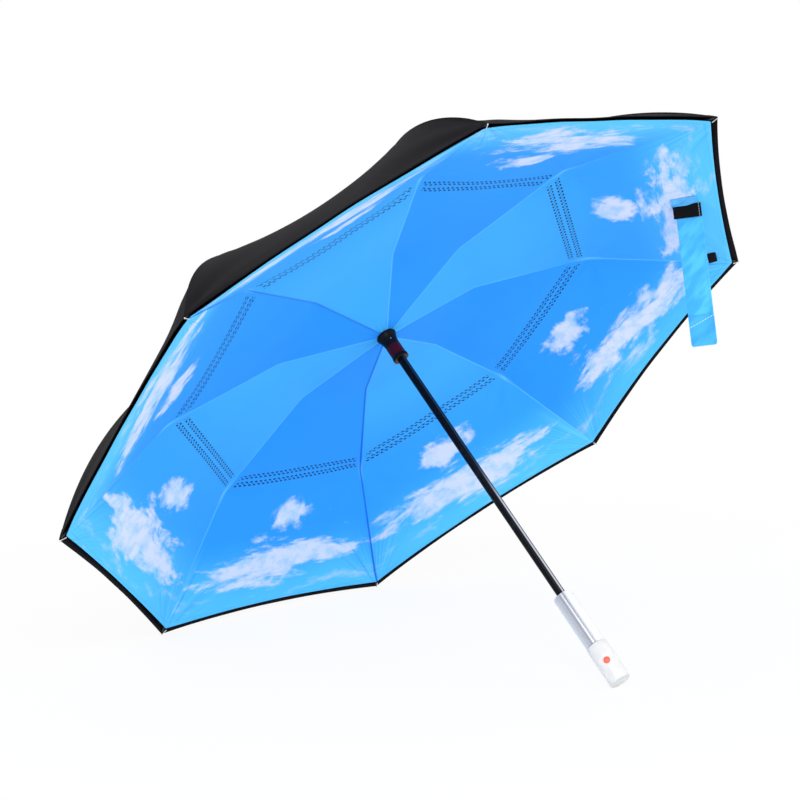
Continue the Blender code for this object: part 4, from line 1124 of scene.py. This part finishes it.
STRAP_RIB = 8
STRAP_WIDTH, STRAP_THICKNESS, STRAP_FALL, STRAP_LEAN = 0.0350, 0.0012, 0.185, 0.098
STRAP_BEND, BEND_STEPS, BEND_SWING = 0.014, 12, 0.55
RIBBON_COLUMNS, ROUNDED_END, END_NARROWER = 12, 0.006, 0.10
PATCH_FROM_HEM, PATCH_FROM_RIB, PATCH_ASIDE, PATCH_INWARDS = 0.0515, 0.0160, 0.0112, 0.0016
FOLD_LENGTH, FOLD_OVERHANG, FOLD_THICKNESS = 0.0427, 0.0002, 0.0011
FOLD_WIDER, FOLD_OUT = 1.01, 0.0013
HOOK_PAD_LENGTH, HOOK_PAD_WIDER = 0.0185, 1.09
HOOK_PAD_ABOVE, HOOK_PAD_BACK, HOOK_PAD_OUT = 0.010, 0.0018, 0.0026
LOOP_PAD_WIDTH, LOOP_PAD_HALF = 0.0125, 0.0100
LOOP_PAD_FROM_HEM, LOOP_PAD_FROM_RIB, LOOP_PAD_INWARDS = 0.0278, 0.0150, 0.0018


def panel_frame(cloth, turn, from_hem):
    """A place on the strap's gore: a turn back from the strap's rib, and a distance up from the hem."""
    turn, reach = np.array([turn]), np.array([cloth.end_reach - from_hem])
    place = cloth.place(STRAP_RIB, turn, reach, np.zeros(1))[0]
    across = unit(cloth.run(STRAP_RIB, turn, reach, 0.02, 0.0)[0])
    slope = unit(cloth.run(STRAP_RIB, turn, reach, 0.0, 0.008)[0])
    inwards = unit(np.cross(across, slope))
    return place, across, slope, inwards if inwards[2] < 0 else -inwards


def ribbon(name, path, side, width, thickness, finish, shape=None):
    """A closed flat band along a path. A shape lifts and narrows it by its distances down and out."""
    path = np.array(path, float)
    runs = np.gradient(path, axis=0)
    runs /= np.linalg.norm(runs, axis=1)[:, None]
    sides = side - runs * (runs @ side)[:, None]
    sides /= np.linalg.norm(sides, axis=1)[:, None]
    faces_out = np.cross(runs, sides)
    down = np.concatenate(([0.0], np.cumsum(np.linalg.norm(np.diff(path, axis=0), axis=1))))
    out = np.linspace(-width / 2, width / 2, RIBBON_COLUMNS + 1)
    round_edge = np.sqrt(np.clip(1 - (2 * np.abs(out) / width) ** 8, 0, 1)) * 0.6 + 0.4
    down_grid, out_grid = np.meshgrid(down, out, indexing="ij")
    if shape is None:
        lift, inset = np.zeros_like(down_grid), np.ones_like(down_grid)
    else:
        lift, inset = shape(down_grid, out_grid)
    layers = []
    for face in (1, -1):
        height = lift + face * thickness / 2 * round_edge
        layers.append(path[:, None] + sides[:, None] * (out_grid * inset)[..., None]
                      + faces_out[:, None] * height[..., None])
    rows, wide = down_grid.shape
    front = np.arange(rows * wide).reshape(rows, wide)
    back = front + rows * wide
    quads = grid_quads(front)[:, (0, 3, 2, 1)].tolist() + grid_quads(back)[:, (1, 2, 3, 0)].tolist()
    rim = [*front[0], *front[1:, -1], *front[-1, -2::-1], *front[-2:0:-1, 0]]
    for place, here in enumerate(rim):
        after = rim[(place + 1) % len(rim)]
        quads.append([int(here), int(after), int(after) + rows * wide, int(here) + rows * wide])
    places = to_world(np.concatenate(layers).reshape(-1, 3))
    notes = {"down": np.tile(down_grid.ravel(), 2), "out": np.tile(out_grid.ravel(), 2)}
    return make_piece(name, places, quads, finish, notes, 50)


def folded_shape(down, out):
    """Flat, with rounded corners at its end."""
    left = np.clip((down.max() - down) / ROUNDED_END, 0, 1)
    return np.zeros_like(down), 1 - END_NARROWER * (1 - np.sqrt(1 - (1 - left) ** 2))


def hanging_shape(down, out):
    """Soft creases down the hanging strap, and rounded corners at its end."""
    lift, inset = folded_shape(down, out)
    calm = np.clip((down - 0.045) / 0.03, 0, 1) * np.clip((down.max() - 0.03 - down) / 0.02, 0, 1)
    lift += 0.0014 * np.sin((down * 0.85 + out) * 62) * calm
    lift += 0.0016 * np.sin(down * 30 + 0.6) * calm
    return lift, inset


def line_of(start, end, count):
    return [start + (end - start) * share for share in np.linspace(0, 1, count)]


def gore_width(cloth, from_hem):
    return 2 * float(cloth.half(cloth.end_reach - from_hem))


def fit_to_lining(piece, node):
    """Fixes a strap or a pad to its rib, with a mesh of its own."""
    fit(piece, f"outer_rib_{STRAP_RIB}", node)
    narrow(piece)


def make_strap(settings):
    cloth = LiningCloth(settings)
    turn = -(1 - 2 * PATCH_FROM_RIB / gore_width(cloth, PATCH_FROM_HEM))
    place, across, slope, inwards = panel_frame(cloth, turn, PATCH_FROM_HEM)
    middle = place + inwards * PATCH_INWARDS - across * PATCH_ASIDE
    half = across * PATCH_HALF
    sewn = line_of(middle - half, middle + half, 20)
    patch = ribbon("strap_patch", sewn, slope, STRAP_WIDTH, STRAP_THICKNESS, "sewn_patch")

    fall = unit(np.array((0.0, 0.0, -1.0)) @ AXES.T + slope * STRAP_LEAN)
    place = middle + half
    path = [place - across * 0.003, place]
    for step in range(1, BEND_STEPS + 1):
        turned = step / BEND_STEPS
        swing = slope * BEND_SWING * math.sin(math.pi * turned)
        direction = across + (fall - across) * turned + swing
        place = place + unit(direction) * (STRAP_BEND / BEND_STEPS)
        path.append(place)
    top = place
    path += line_of(top, top + fall * STRAP_FALL, 60)[1:]
    strap = ribbon("strap", path, slope, STRAP_WIDTH, STRAP_THICKNESS, "blue_webbing", hanging_shape)

    face = unit(np.cross(fall, slope))
    if face @ across > 0:
        face = -face
    pad_top = top - fall * HOOK_PAD_ABOVE - slope * HOOK_PAD_BACK + face * HOOK_PAD_OUT
    pad_line = line_of(pad_top, pad_top + fall * HOOK_PAD_LENGTH, 12)
    pad_width = STRAP_WIDTH * HOOK_PAD_WIDER
    hook = ribbon("strap_hook_pad", pad_line, slope, pad_width, STRAP_THICKNESS, "black_pile")
    fold_top = top + fall * (STRAP_FALL - FOLD_LENGTH + FOLD_OVERHANG) + face * FOLD_OUT
    fold_line = line_of(fold_top, fold_top + fall * FOLD_LENGTH, 20)
    fold_width = STRAP_WIDTH * FOLD_WIDER
    fold = ribbon("strap_fold", fold_line, slope, fold_width, FOLD_THICKNESS, "folded_webbing",
                  folded_shape)
    for piece in (patch, strap, fold):
        fit_to_lining(piece, "tie_strap")
    fit_to_lining(hook, "hook_pad")


def make_loop_pad(settings):
    cloth = LiningCloth(settings)
    turn = -2 * LOOP_PAD_FROM_RIB / gore_width(cloth, LOOP_PAD_FROM_HEM)
    place, across, slope, inwards = panel_frame(cloth, turn, LOOP_PAD_FROM_HEM)
    middle = place + inwards * LOOP_PAD_INWARDS
    half = across * LOOP_PAD_HALF
    line = line_of(middle - half, middle + half, 12)
    pad = ribbon("lining_loop_pad", line, slope, LOOP_PAD_WIDTH, STRAP_THICKNESS, "black_pile")
    fit_to_lining(pad, "loop_pad")


# Turned parts

def eased(profile, radius, steps=4):
    """A profile with its inner corners rounded."""
    profile = [np.array(point, float) for point in profile]
    result = [profile[0]]
    for before, corner, after in zip(profile, profile[1:], profile[2:]):
        to_before, to_after = before - corner, after - corner
        reach = min(radius, np.linalg.norm(to_before) * 0.45, np.linalg.norm(to_after) * 0.45)
        start, end = corner + unit(to_before) * reach, corner + unit(to_after) * reach
        for share in np.linspace(0, 1, steps + 1):
            left = 1 - share
            result.append(left ** 2 * start + 2 * share * left * corner + share ** 2 * end)
    return result + [profile[-1]]


def dome(radius, rise, height, count):
    """Profile of a dome, from its edge at a height to just short of its top."""
    angles = np.linspace(0, math.pi / 2, count)[:-1]
    return [(radius * math.cos(angle), height + rise * math.sin(angle)) for angle in angles]


def turned(name, profile, finish, sides=96, closed=False, axes=AXES, foot=FOOT):
    """A closed shape turned round the shaft, or round axes of its own, from its radii and heights."""
    profile = np.array(profile, float)
    angles = np.linspace(0, 2 * math.pi, sides, endpoint=False)
    places, rings = [], []
    for radius, height in profile:
        if radius < 1e-9:
            rings.append([len(places)])
            places.append((0.0, 0.0, height))
        else:
            rings.append(list(range(len(places), len(places) + sides)))
            places += [(radius * math.cos(angle), radius * math.sin(angle), height)
                       for angle in angles]
    faces = []
    pairs = list(zip(rings, rings[1:])) + ([(rings[-1], rings[0])] if closed else [])
    for low, high in pairs:
        for step in range(sides):
            after = (step + 1) % sides
            if len(low) == 1:
                faces.append((low[0], high[after], high[step]))
            elif len(high) == 1:
                faces.append((low[step], low[after], high[0]))
            else:
                faces.append((low[step], low[after], high[after], high[step]))
    places = np.array(places)
    x, y, z = places.T
    reach = np.maximum(np.hypot(x, y), 1e-9)
    notes = {"east": x / reach, "north": y / reach, "down": z}
    piece = make_piece(name, foot + places @ axes, faces, finish, notes, 40)
    return piece


def turned_ring(name, radii, heights, rounding, finish):
    """A ring turned round the shaft, between two radii and two heights."""
    (inside, outside), (low, high) = radii, heights
    section = [(inside, low), (outside, low), (outside, high), (inside, high), (inside, low)]
    return turned(name, eased(section, rounding)[:-1], finish, closed=True)


FINE_EDGE, BELL_EDGE, FOOT_EDGE, SLEEVE_EDGE, TUBE_EDGE = 0.0003, 0.0008, 0.0016, 0.0006, 0.0004
SHAFT_WALL, SHAFT_FOOT, SHAFT_PAST_CROWN = 0.0008, 0.060, 0.0012
CAP_LIFT, CAP_RADIUS, CAP_EDGE, CAP_RISE, CAP_HEIGHT = 0.0014, 0.0150, 0.0022, 0.0063, 0.0085
CAP_STEM_RADIUS, CAP_STEM = 0.0020, 0.0130


def make_shaft(settings):
    radii = (settings.shaft_radius - SHAFT_WALL, settings.shaft_radius)
    heights = (SHAFT_FOOT, CROWN_HEIGHT + SHAFT_PAST_CROWN)
    shaft = turned_ring("painted_shaft", radii, heights, FINE_EDGE, "gloss_paint")
    fit(shaft, "body", "shaft")
    base = CROWN_TOP + CAP_LIFT
    profile = [(0, base - CAP_STEM), (CAP_STEM_RADIUS, base - CAP_STEM), (CAP_STEM_RADIUS, base),
               (CAP_RADIUS - 0.0004, base), (CAP_RADIUS, base + 0.0006)]
    profile += dome(CAP_RADIUS, CAP_RISE, base + CAP_EDGE, 12) + [(0, base + CAP_HEIGHT)]
    fit(turned("domed_top_cap", profile, "black_plastic"), "body", "top_cap")


RUNNER_BOTTOM = RUNNER_HEIGHT - 0.0533
BELL_BORE, BELL_RIM, BELL_NECK, BELL_FLARE = 0.0032, 0.0112, 0.0102, 0.0142
BELL_CURVE, BELL_CURVE_POWER, BELL_LIP = 0.0228, 2.1, 0.0022
BAND_LOW, BAND_HIGH, BAND_PROUD, BAND_SUNK = 0.0061, 0.0220, 0.0002, 0.0008
FACE_RADIUS, FACE_LOW, FACE_HIGH, FACE_CLEARANCE = 0.0101, -0.0006, 0.0016, 0.0003
PIN_AZIMUTH, PIN_RADIUS, PIN_HEIGHT = -118.0, 0.0098, 0.0300


def make_runner(settings):
    bottom, seat, bore = RUNNER_BOTTOM, LINING_SEAT, settings.shaft_radius + BELL_BORE
    lower = [(bore, bottom + 0.0002), (BELL_RIM, bottom - 0.0002), (BELL_RIM, bottom + 0.0045),
             (BELL_NECK, bottom + 0.0058)]
    profile, curve_start = eased(lower, BELL_EDGE), bottom + BELL_CURVE
    for share in np.linspace(0, 1, 12):
        radius = BELL_NECK + (BELL_FLARE - BELL_NECK) * share ** BELL_CURVE_POWER
        profile.append((radius, curve_start + (seat - BELL_LIP - curve_start) * share))
    profile += [(BELL_FLARE + 0.0001, seat - 0.0012), (BELL_FLARE - 0.0006, seat - 0.0004),
                (bore, seat - 0.0004)]
    fit(turned("runner_bell", profile, "black_plastic", closed=True), "runner")
    radii = (BELL_NECK - BAND_SUNK, BELL_NECK + BAND_PROUD)
    heights = (bottom + BAND_LOW, bottom + BAND_HIGH)
    band = turned_ring("runner_red_band", radii, heights, FINE_EDGE, "red_plastic")
    fit(band, "runner", "runner_band")
    radii = (settings.shaft_radius + FACE_CLEARANCE, FACE_RADIUS)
    heights = (bottom + FACE_LOW, bottom + FACE_HIGH)
    face = turned_ring("runner_brass_face", radii, heights, FINE_EDGE, "brass")
    fit(face, "runner", "runner_bush")

    out = direction_at(PIN_AZIMUTH)
    profile = [(0, 0.0), (0.0009, 0.0), (0.0009, 0.0014), (0.0006, 0.0017), (0, 0.0018)]
    place = to_world(out * PIN_RADIUS + at_height(bottom + PIN_HEIGHT))
    fit(turned("runner_pin", profile, "zinc_steel", 20, False, leaning_axes(out), place), "runner")


GRIP_FOOT, GRIP_TOP, GRIP_JOINT = 0.0560, 0.1341, 0.0003
SLEEVE_BORE, TUBE_RADIUS, TUBE_BORE_CLEARANCE, TUBE_PROUD = 0.0131, 0.0128, 0.0003, 0.0004


def make_handle(settings):
    radius = settings.grip_radius
    foot = eased([(0, 0), (radius, 0), (radius, GRIP_FOOT), (0, GRIP_FOOT)], FOOT_EDGE)
    fit(turned("grip_foot", foot, "milky_acrylic"), "body", "grip")
    low = GRIP_FOOT + GRIP_JOINT
    radii, heights = (SLEEVE_BORE, radius), (low, GRIP_TOP)
    fit(turned_ring("grip_sleeve", radii, heights, SLEEVE_EDGE, "clear_acrylic"), "body", "grip")
    radii = (settings.shaft_radius + TUBE_BORE_CLEARANCE, TUBE_RADIUS)
    heights = (low, GRIP_TOP + TUBE_PROUD)
    tube = turned_ring("handle_tube", radii, heights, TUBE_EDGE, "polished_aluminium")
    fit(tube, "body", "handle_liner")


BUTTON_AZIMUTH, BUTTON_HEIGHT, BUTTON_RADIUS = -135.0, 0.0285, 0.0043
BUTTON_PROUD, BUTTON_DEPTH, BUTTON_DOME = 0.0012, 0.0048, 0.0006


def make_button(settings):
    top = settings.grip_radius + BUTTON_PROUD
    profile = [(0, top - BUTTON_DEPTH), (BUTTON_RADIUS, top - BUTTON_DEPTH)]
    profile += dome(BUTTON_RADIUS, BUTTON_DOME, top - BUTTON_DOME, 8) + [(0, top)]
    axes, place = leaning_axes(direction_at(BUTTON_AZIMUTH)), to_world(at_height(BUTTON_HEIGHT))
    fit(turned("press_button", profile, "orange_plastic", 48, False, axes, place), "button", "button")


TIP_START, TIP_END = (0.0004, -0.0022), (0.0010, -0.0012)


def make_tips(settings):
    """Slim pins that hold the corners of both cloths together."""
    start = np.array((settings.lining_corner_radius, settings.lining_corner_height)) + TIP_START
    end = np.array((settings.cover_corner_radius, settings.cover_corner_height)) + TIP_END
    length = float(np.linalg.norm(end - start))
    profile = eased([
        (0, 0.0), (0.0005, 0.0), (0.0008, 0.0006), (0.0007, length - 0.0024),
        (0.0010, length - 0.0014), (0.0010, length - 0.0005), (0.0006, length), (0, length),
    ], FINE_EDGE)
    for rib in RIB_NUMBERS:
        out = rib_directions(rib)
        axes = leaning_axes(out, unit(end - start))
        place = to_world(out * start[0] + at_height(start[1]))
        pin = turned(f"corner_pin_{rib}", profile, "silver_tip", 16, False, axes, place)
        fit(pin, f"outer_rib_{rib}", f"rib_tip_{rib}")


def dress_nodes():
    """Gives each CAD node that shows its procedural finish."""
    for node in frame["nodes"].values():
        if node.hide_render:
            continue
        for slot in node.material_slots:
            slot.material = FINISHES[slot.material.name.split(".")[0]]


# Stage

KEY_PLACE, KEY_SIZE = (-2.6, -2.4, 2.6), 2.4
FILL_PLACE, FILL_SIZE = (1.8, -2.6, 1.6), 2.0
LAMP_TARGET = (0, -0.05, 0.35)
FLOOR_HALF, FLOOR_STEPS = 7, 24
CAMERA_PLACE = (-1.87211, -2.05254, 0.67794)
CAMERA_ANGLES = (83.0169, 2.1039, -42.0105)


def area_lamp(name, place, size, power):
    lamp = bpy.data.lights.new(name, "AREA")
    lamp.shape = "DISK"
    lamp.size = size
    lamp.energy = power
    holder = put_in_scene(name, lamp)
    holder.location = place
    aim = Vector(LAMP_TARGET) - Vector(place)
    holder.rotation_euler = aim.to_track_quat("-Z", "Y").to_euler()


def seen_directly(recipe):
    """1 for rays from the camera, and for rays by way of gloss or glass."""
    kinds = ("Is Camera Ray", "Is Glossy Ray", "Is Transmission Ray")
    found = [recipe.node("ShaderNodeLightPath", None, None, kind) for kind in kinds]
    return found[0].math("MAXIMUM", found[1]).math("MAXIMUM", found[2])


def make_world(settings):
    world = bpy.data.worlds.new("soft_studio")
    bpy.context.scene.world = world
    world.use_nodes = True
    background = world.node_tree.nodes["Background"]
    background.inputs["Color"].default_value = (1, 1, 1, 1)
    direct = seen_directly(Recipe(tree=world.node_tree))
    strength = settings.ambient + direct * (1 - settings.ambient)
    world.node_tree.links.new(strength.socket, background.inputs["Strength"])


def make_floor(settings):
    line = np.linspace(-FLOOR_HALF, FLOOR_HALF, FLOOR_STEPS + 1)
    places = [(x, y, 0.0) for y in line for x in line]
    index = np.arange(len(places)).reshape(len(line), len(line))
    mesh = bpy.data.meshes.new("floor")
    mesh.from_pydata(places, [], grid_quads(index).tolist())
    recipe = Recipe("pale_floor", roughness=0.9, specular_ior_level=0.1)
    tone = settings.floor_tone
    grain = recipe.noise(recipe.place(), 30.0, 3.0)
    recipe.feed(base_color=recipe.mix(grain * 0.05, (tone, tone, tone), (tone * 0.97,) * 3))
    glow = recipe.node("ShaderNodeEmission", None, {"Color": (1, 1, 1, 1), "Strength": 1.0})
    plain = Signal(recipe, recipe.shader.outputs[0])
    operation = {"operation": "LENGTH"}
    spread = recipe.node("ShaderNodeVectorMath", operation, {0: recipe.place()}, "Value")
    share = seen_directly(recipe) * (0.90 + spread.smooth(0.5, 1.5) * 0.10)
    both = recipe.node("ShaderNodeMixShader", None, {0: share, 1: plain, 2: glow})
    recipe.tree.links.new(both.socket, recipe.tree.nodes["Material Output"].inputs["Surface"])
    mesh.materials.append(recipe.material)
    put_in_scene("floor", mesh)


def make_camera(settings):
    lens = bpy.data.cameras.new("view")
    lens.lens = settings.lens
    lens.sensor_width = 36.0
    lens.clip_end = 60.0
    camera = put_in_scene("view", lens)
    camera.location = CAMERA_PLACE
    camera.rotation_euler = [math.radians(angle) for angle in CAMERA_ANGLES]
    bpy.context.scene.camera = camera


# Operators

class UMBRELLA_OT_finishes(Operator):
    """Make the cloth, metal, plastic and acrylic finishes"""

    bl_idname = "umbrella.finishes"
    bl_label = "Finishes"

    def execute(self, context):
        make_finishes(context.scene)
        return {"FINISHED"}


class UMBRELLA_OT_lining(Operator):
    """Sew the printed lining, eight sectors in four rings"""

    bl_idname = "umbrella.lining"
    bl_label = "Lining"

    def execute(self, context):
        make_lining(context.scene.umbrella_canopy)
        return {"FINISHED"}


class UMBRELLA_OT_cover(Operator):
    """Sew the black outer cover"""

    bl_idname = "umbrella.cover"
    bl_label = "Outer cover"

    def execute(self, context):
        make_cover(context.scene.umbrella_canopy)
        return {"FINISHED"}


class UMBRELLA_OT_strap(Operator):
    """Make the tie strap with its hook pad, and the loop pad on the lining"""

    bl_idname = "umbrella.strap"
    bl_label = "Strap and pads"

    def execute(self, context):
        make_strap(context.scene.umbrella_canopy)
        make_loop_pad(context.scene.umbrella_canopy)
        return {"FINISHED"}


class UMBRELLA_OT_shaft(Operator):
    """Turn the painted shaft and the top cap"""

    bl_idname = "umbrella.shaft"
    bl_label = "Shaft and cap"

    def execute(self, context):
        make_shaft(context.scene.umbrella_fittings)
        return {"FINISHED"}


class UMBRELLA_OT_runner(Operator):
    """Turn the runner's bell, its red band, brass face and pin"""

    bl_idname = "umbrella.runner"
    bl_label = "Runner"

    def execute(self, context):
        make_runner(context.scene.umbrella_fittings)
        return {"FINISHED"}


class UMBRELLA_OT_handle(Operator):
    """Turn the handle's clear sleeve, pale foot, tube and button"""

    bl_idname = "umbrella.handle"
    bl_label = "Handle and button"

    def execute(self, context):
        make_handle(context.scene.umbrella_fittings)
        make_button(context.scene.umbrella_fittings)
        return {"FINISHED"}


class UMBRELLA_OT_tips(Operator):
    """Turn the slim pins at the ribs' ends"""

    bl_idname = "umbrella.tips"
    bl_label = "Rib ends"

    def execute(self, context):
        make_tips(context.scene.umbrella_canopy)
        return {"FINISHED"}


class UMBRELLA_OT_frame(Operator):
    """Finish the ribs, hinges and wires that show as they are"""

    bl_idname = "umbrella.frame"
    bl_label = "Ribs and hinges"

    def execute(self, context):
        dress_nodes()
        return {"FINISHED"}


class UMBRELLA_OT_stage(Operator):
    """Set up the floor, the lamps and the camera"""

    bl_idname = "umbrella.stage"
    bl_label = "Stage"

    def execute(self, context):
        settings = context.scene.umbrella_stage
        make_world(settings)
        make_floor(settings)
        make_camera(settings)
        area_lamp("key", KEY_PLACE, KEY_SIZE, settings.key_power)
        area_lamp("fill", FILL_PLACE, FILL_SIZE, settings.fill_power)
        context.scene.view_settings.view_transform = "Standard"
        return {"FINISHED"}


class UMBRELLA_PT_sidebar(Panel):
    """The umbrella's sizes, colours and steps"""

    bl_label = "Umbrella"
    bl_idname = "UMBRELLA_PT_sidebar"
    bl_space_type = "VIEW_3D"
    bl_region_type = "UI"
    bl_category = "Umbrella"

    def draw(self, context):
        layout = self.layout
        for operator in STEPS:
            layout.operator(operator.bl_idname)
        for name in SETTINGS:
            group = getattr(context.scene, name)
            box = layout.box()
            for title in group.bl_rna.properties.keys():
                if title not in ("rna_type", "name"):
                    box.prop(group, title)


STEPS = (
    UMBRELLA_OT_finishes, UMBRELLA_OT_lining, UMBRELLA_OT_cover, UMBRELLA_OT_strap, UMBRELLA_OT_shaft,
    UMBRELLA_OT_runner, UMBRELLA_OT_handle, UMBRELLA_OT_tips, UMBRELLA_OT_frame, UMBRELLA_OT_stage,
)
SETTINGS = {
    "umbrella_canopy": CanopySettings,
    "umbrella_fittings": FittingSettings,
    "umbrella_stage": StageSettings,
}


def register():
    for kind in (*SETTINGS.values(), *STEPS, UMBRELLA_PT_sidebar):
        bpy.utils.register_class(kind)
    for name, kind in SETTINGS.items():
        setattr(bpy.types.Scene, name, PointerProperty(type=kind))


def unregister():
    for name in SETTINGS:
        delattr(bpy.types.Scene, name)
    for kind in reversed((*SETTINGS.values(), *STEPS, UMBRELLA_PT_sidebar)):
        bpy.utils.unregister_class(kind)


def main():
    register()
    for operator in STEPS:
        group, name = operator.bl_idname.split(".")
        getattr(getattr(bpy.ops, group), name)()


if __name__ == "__main__":
    main()
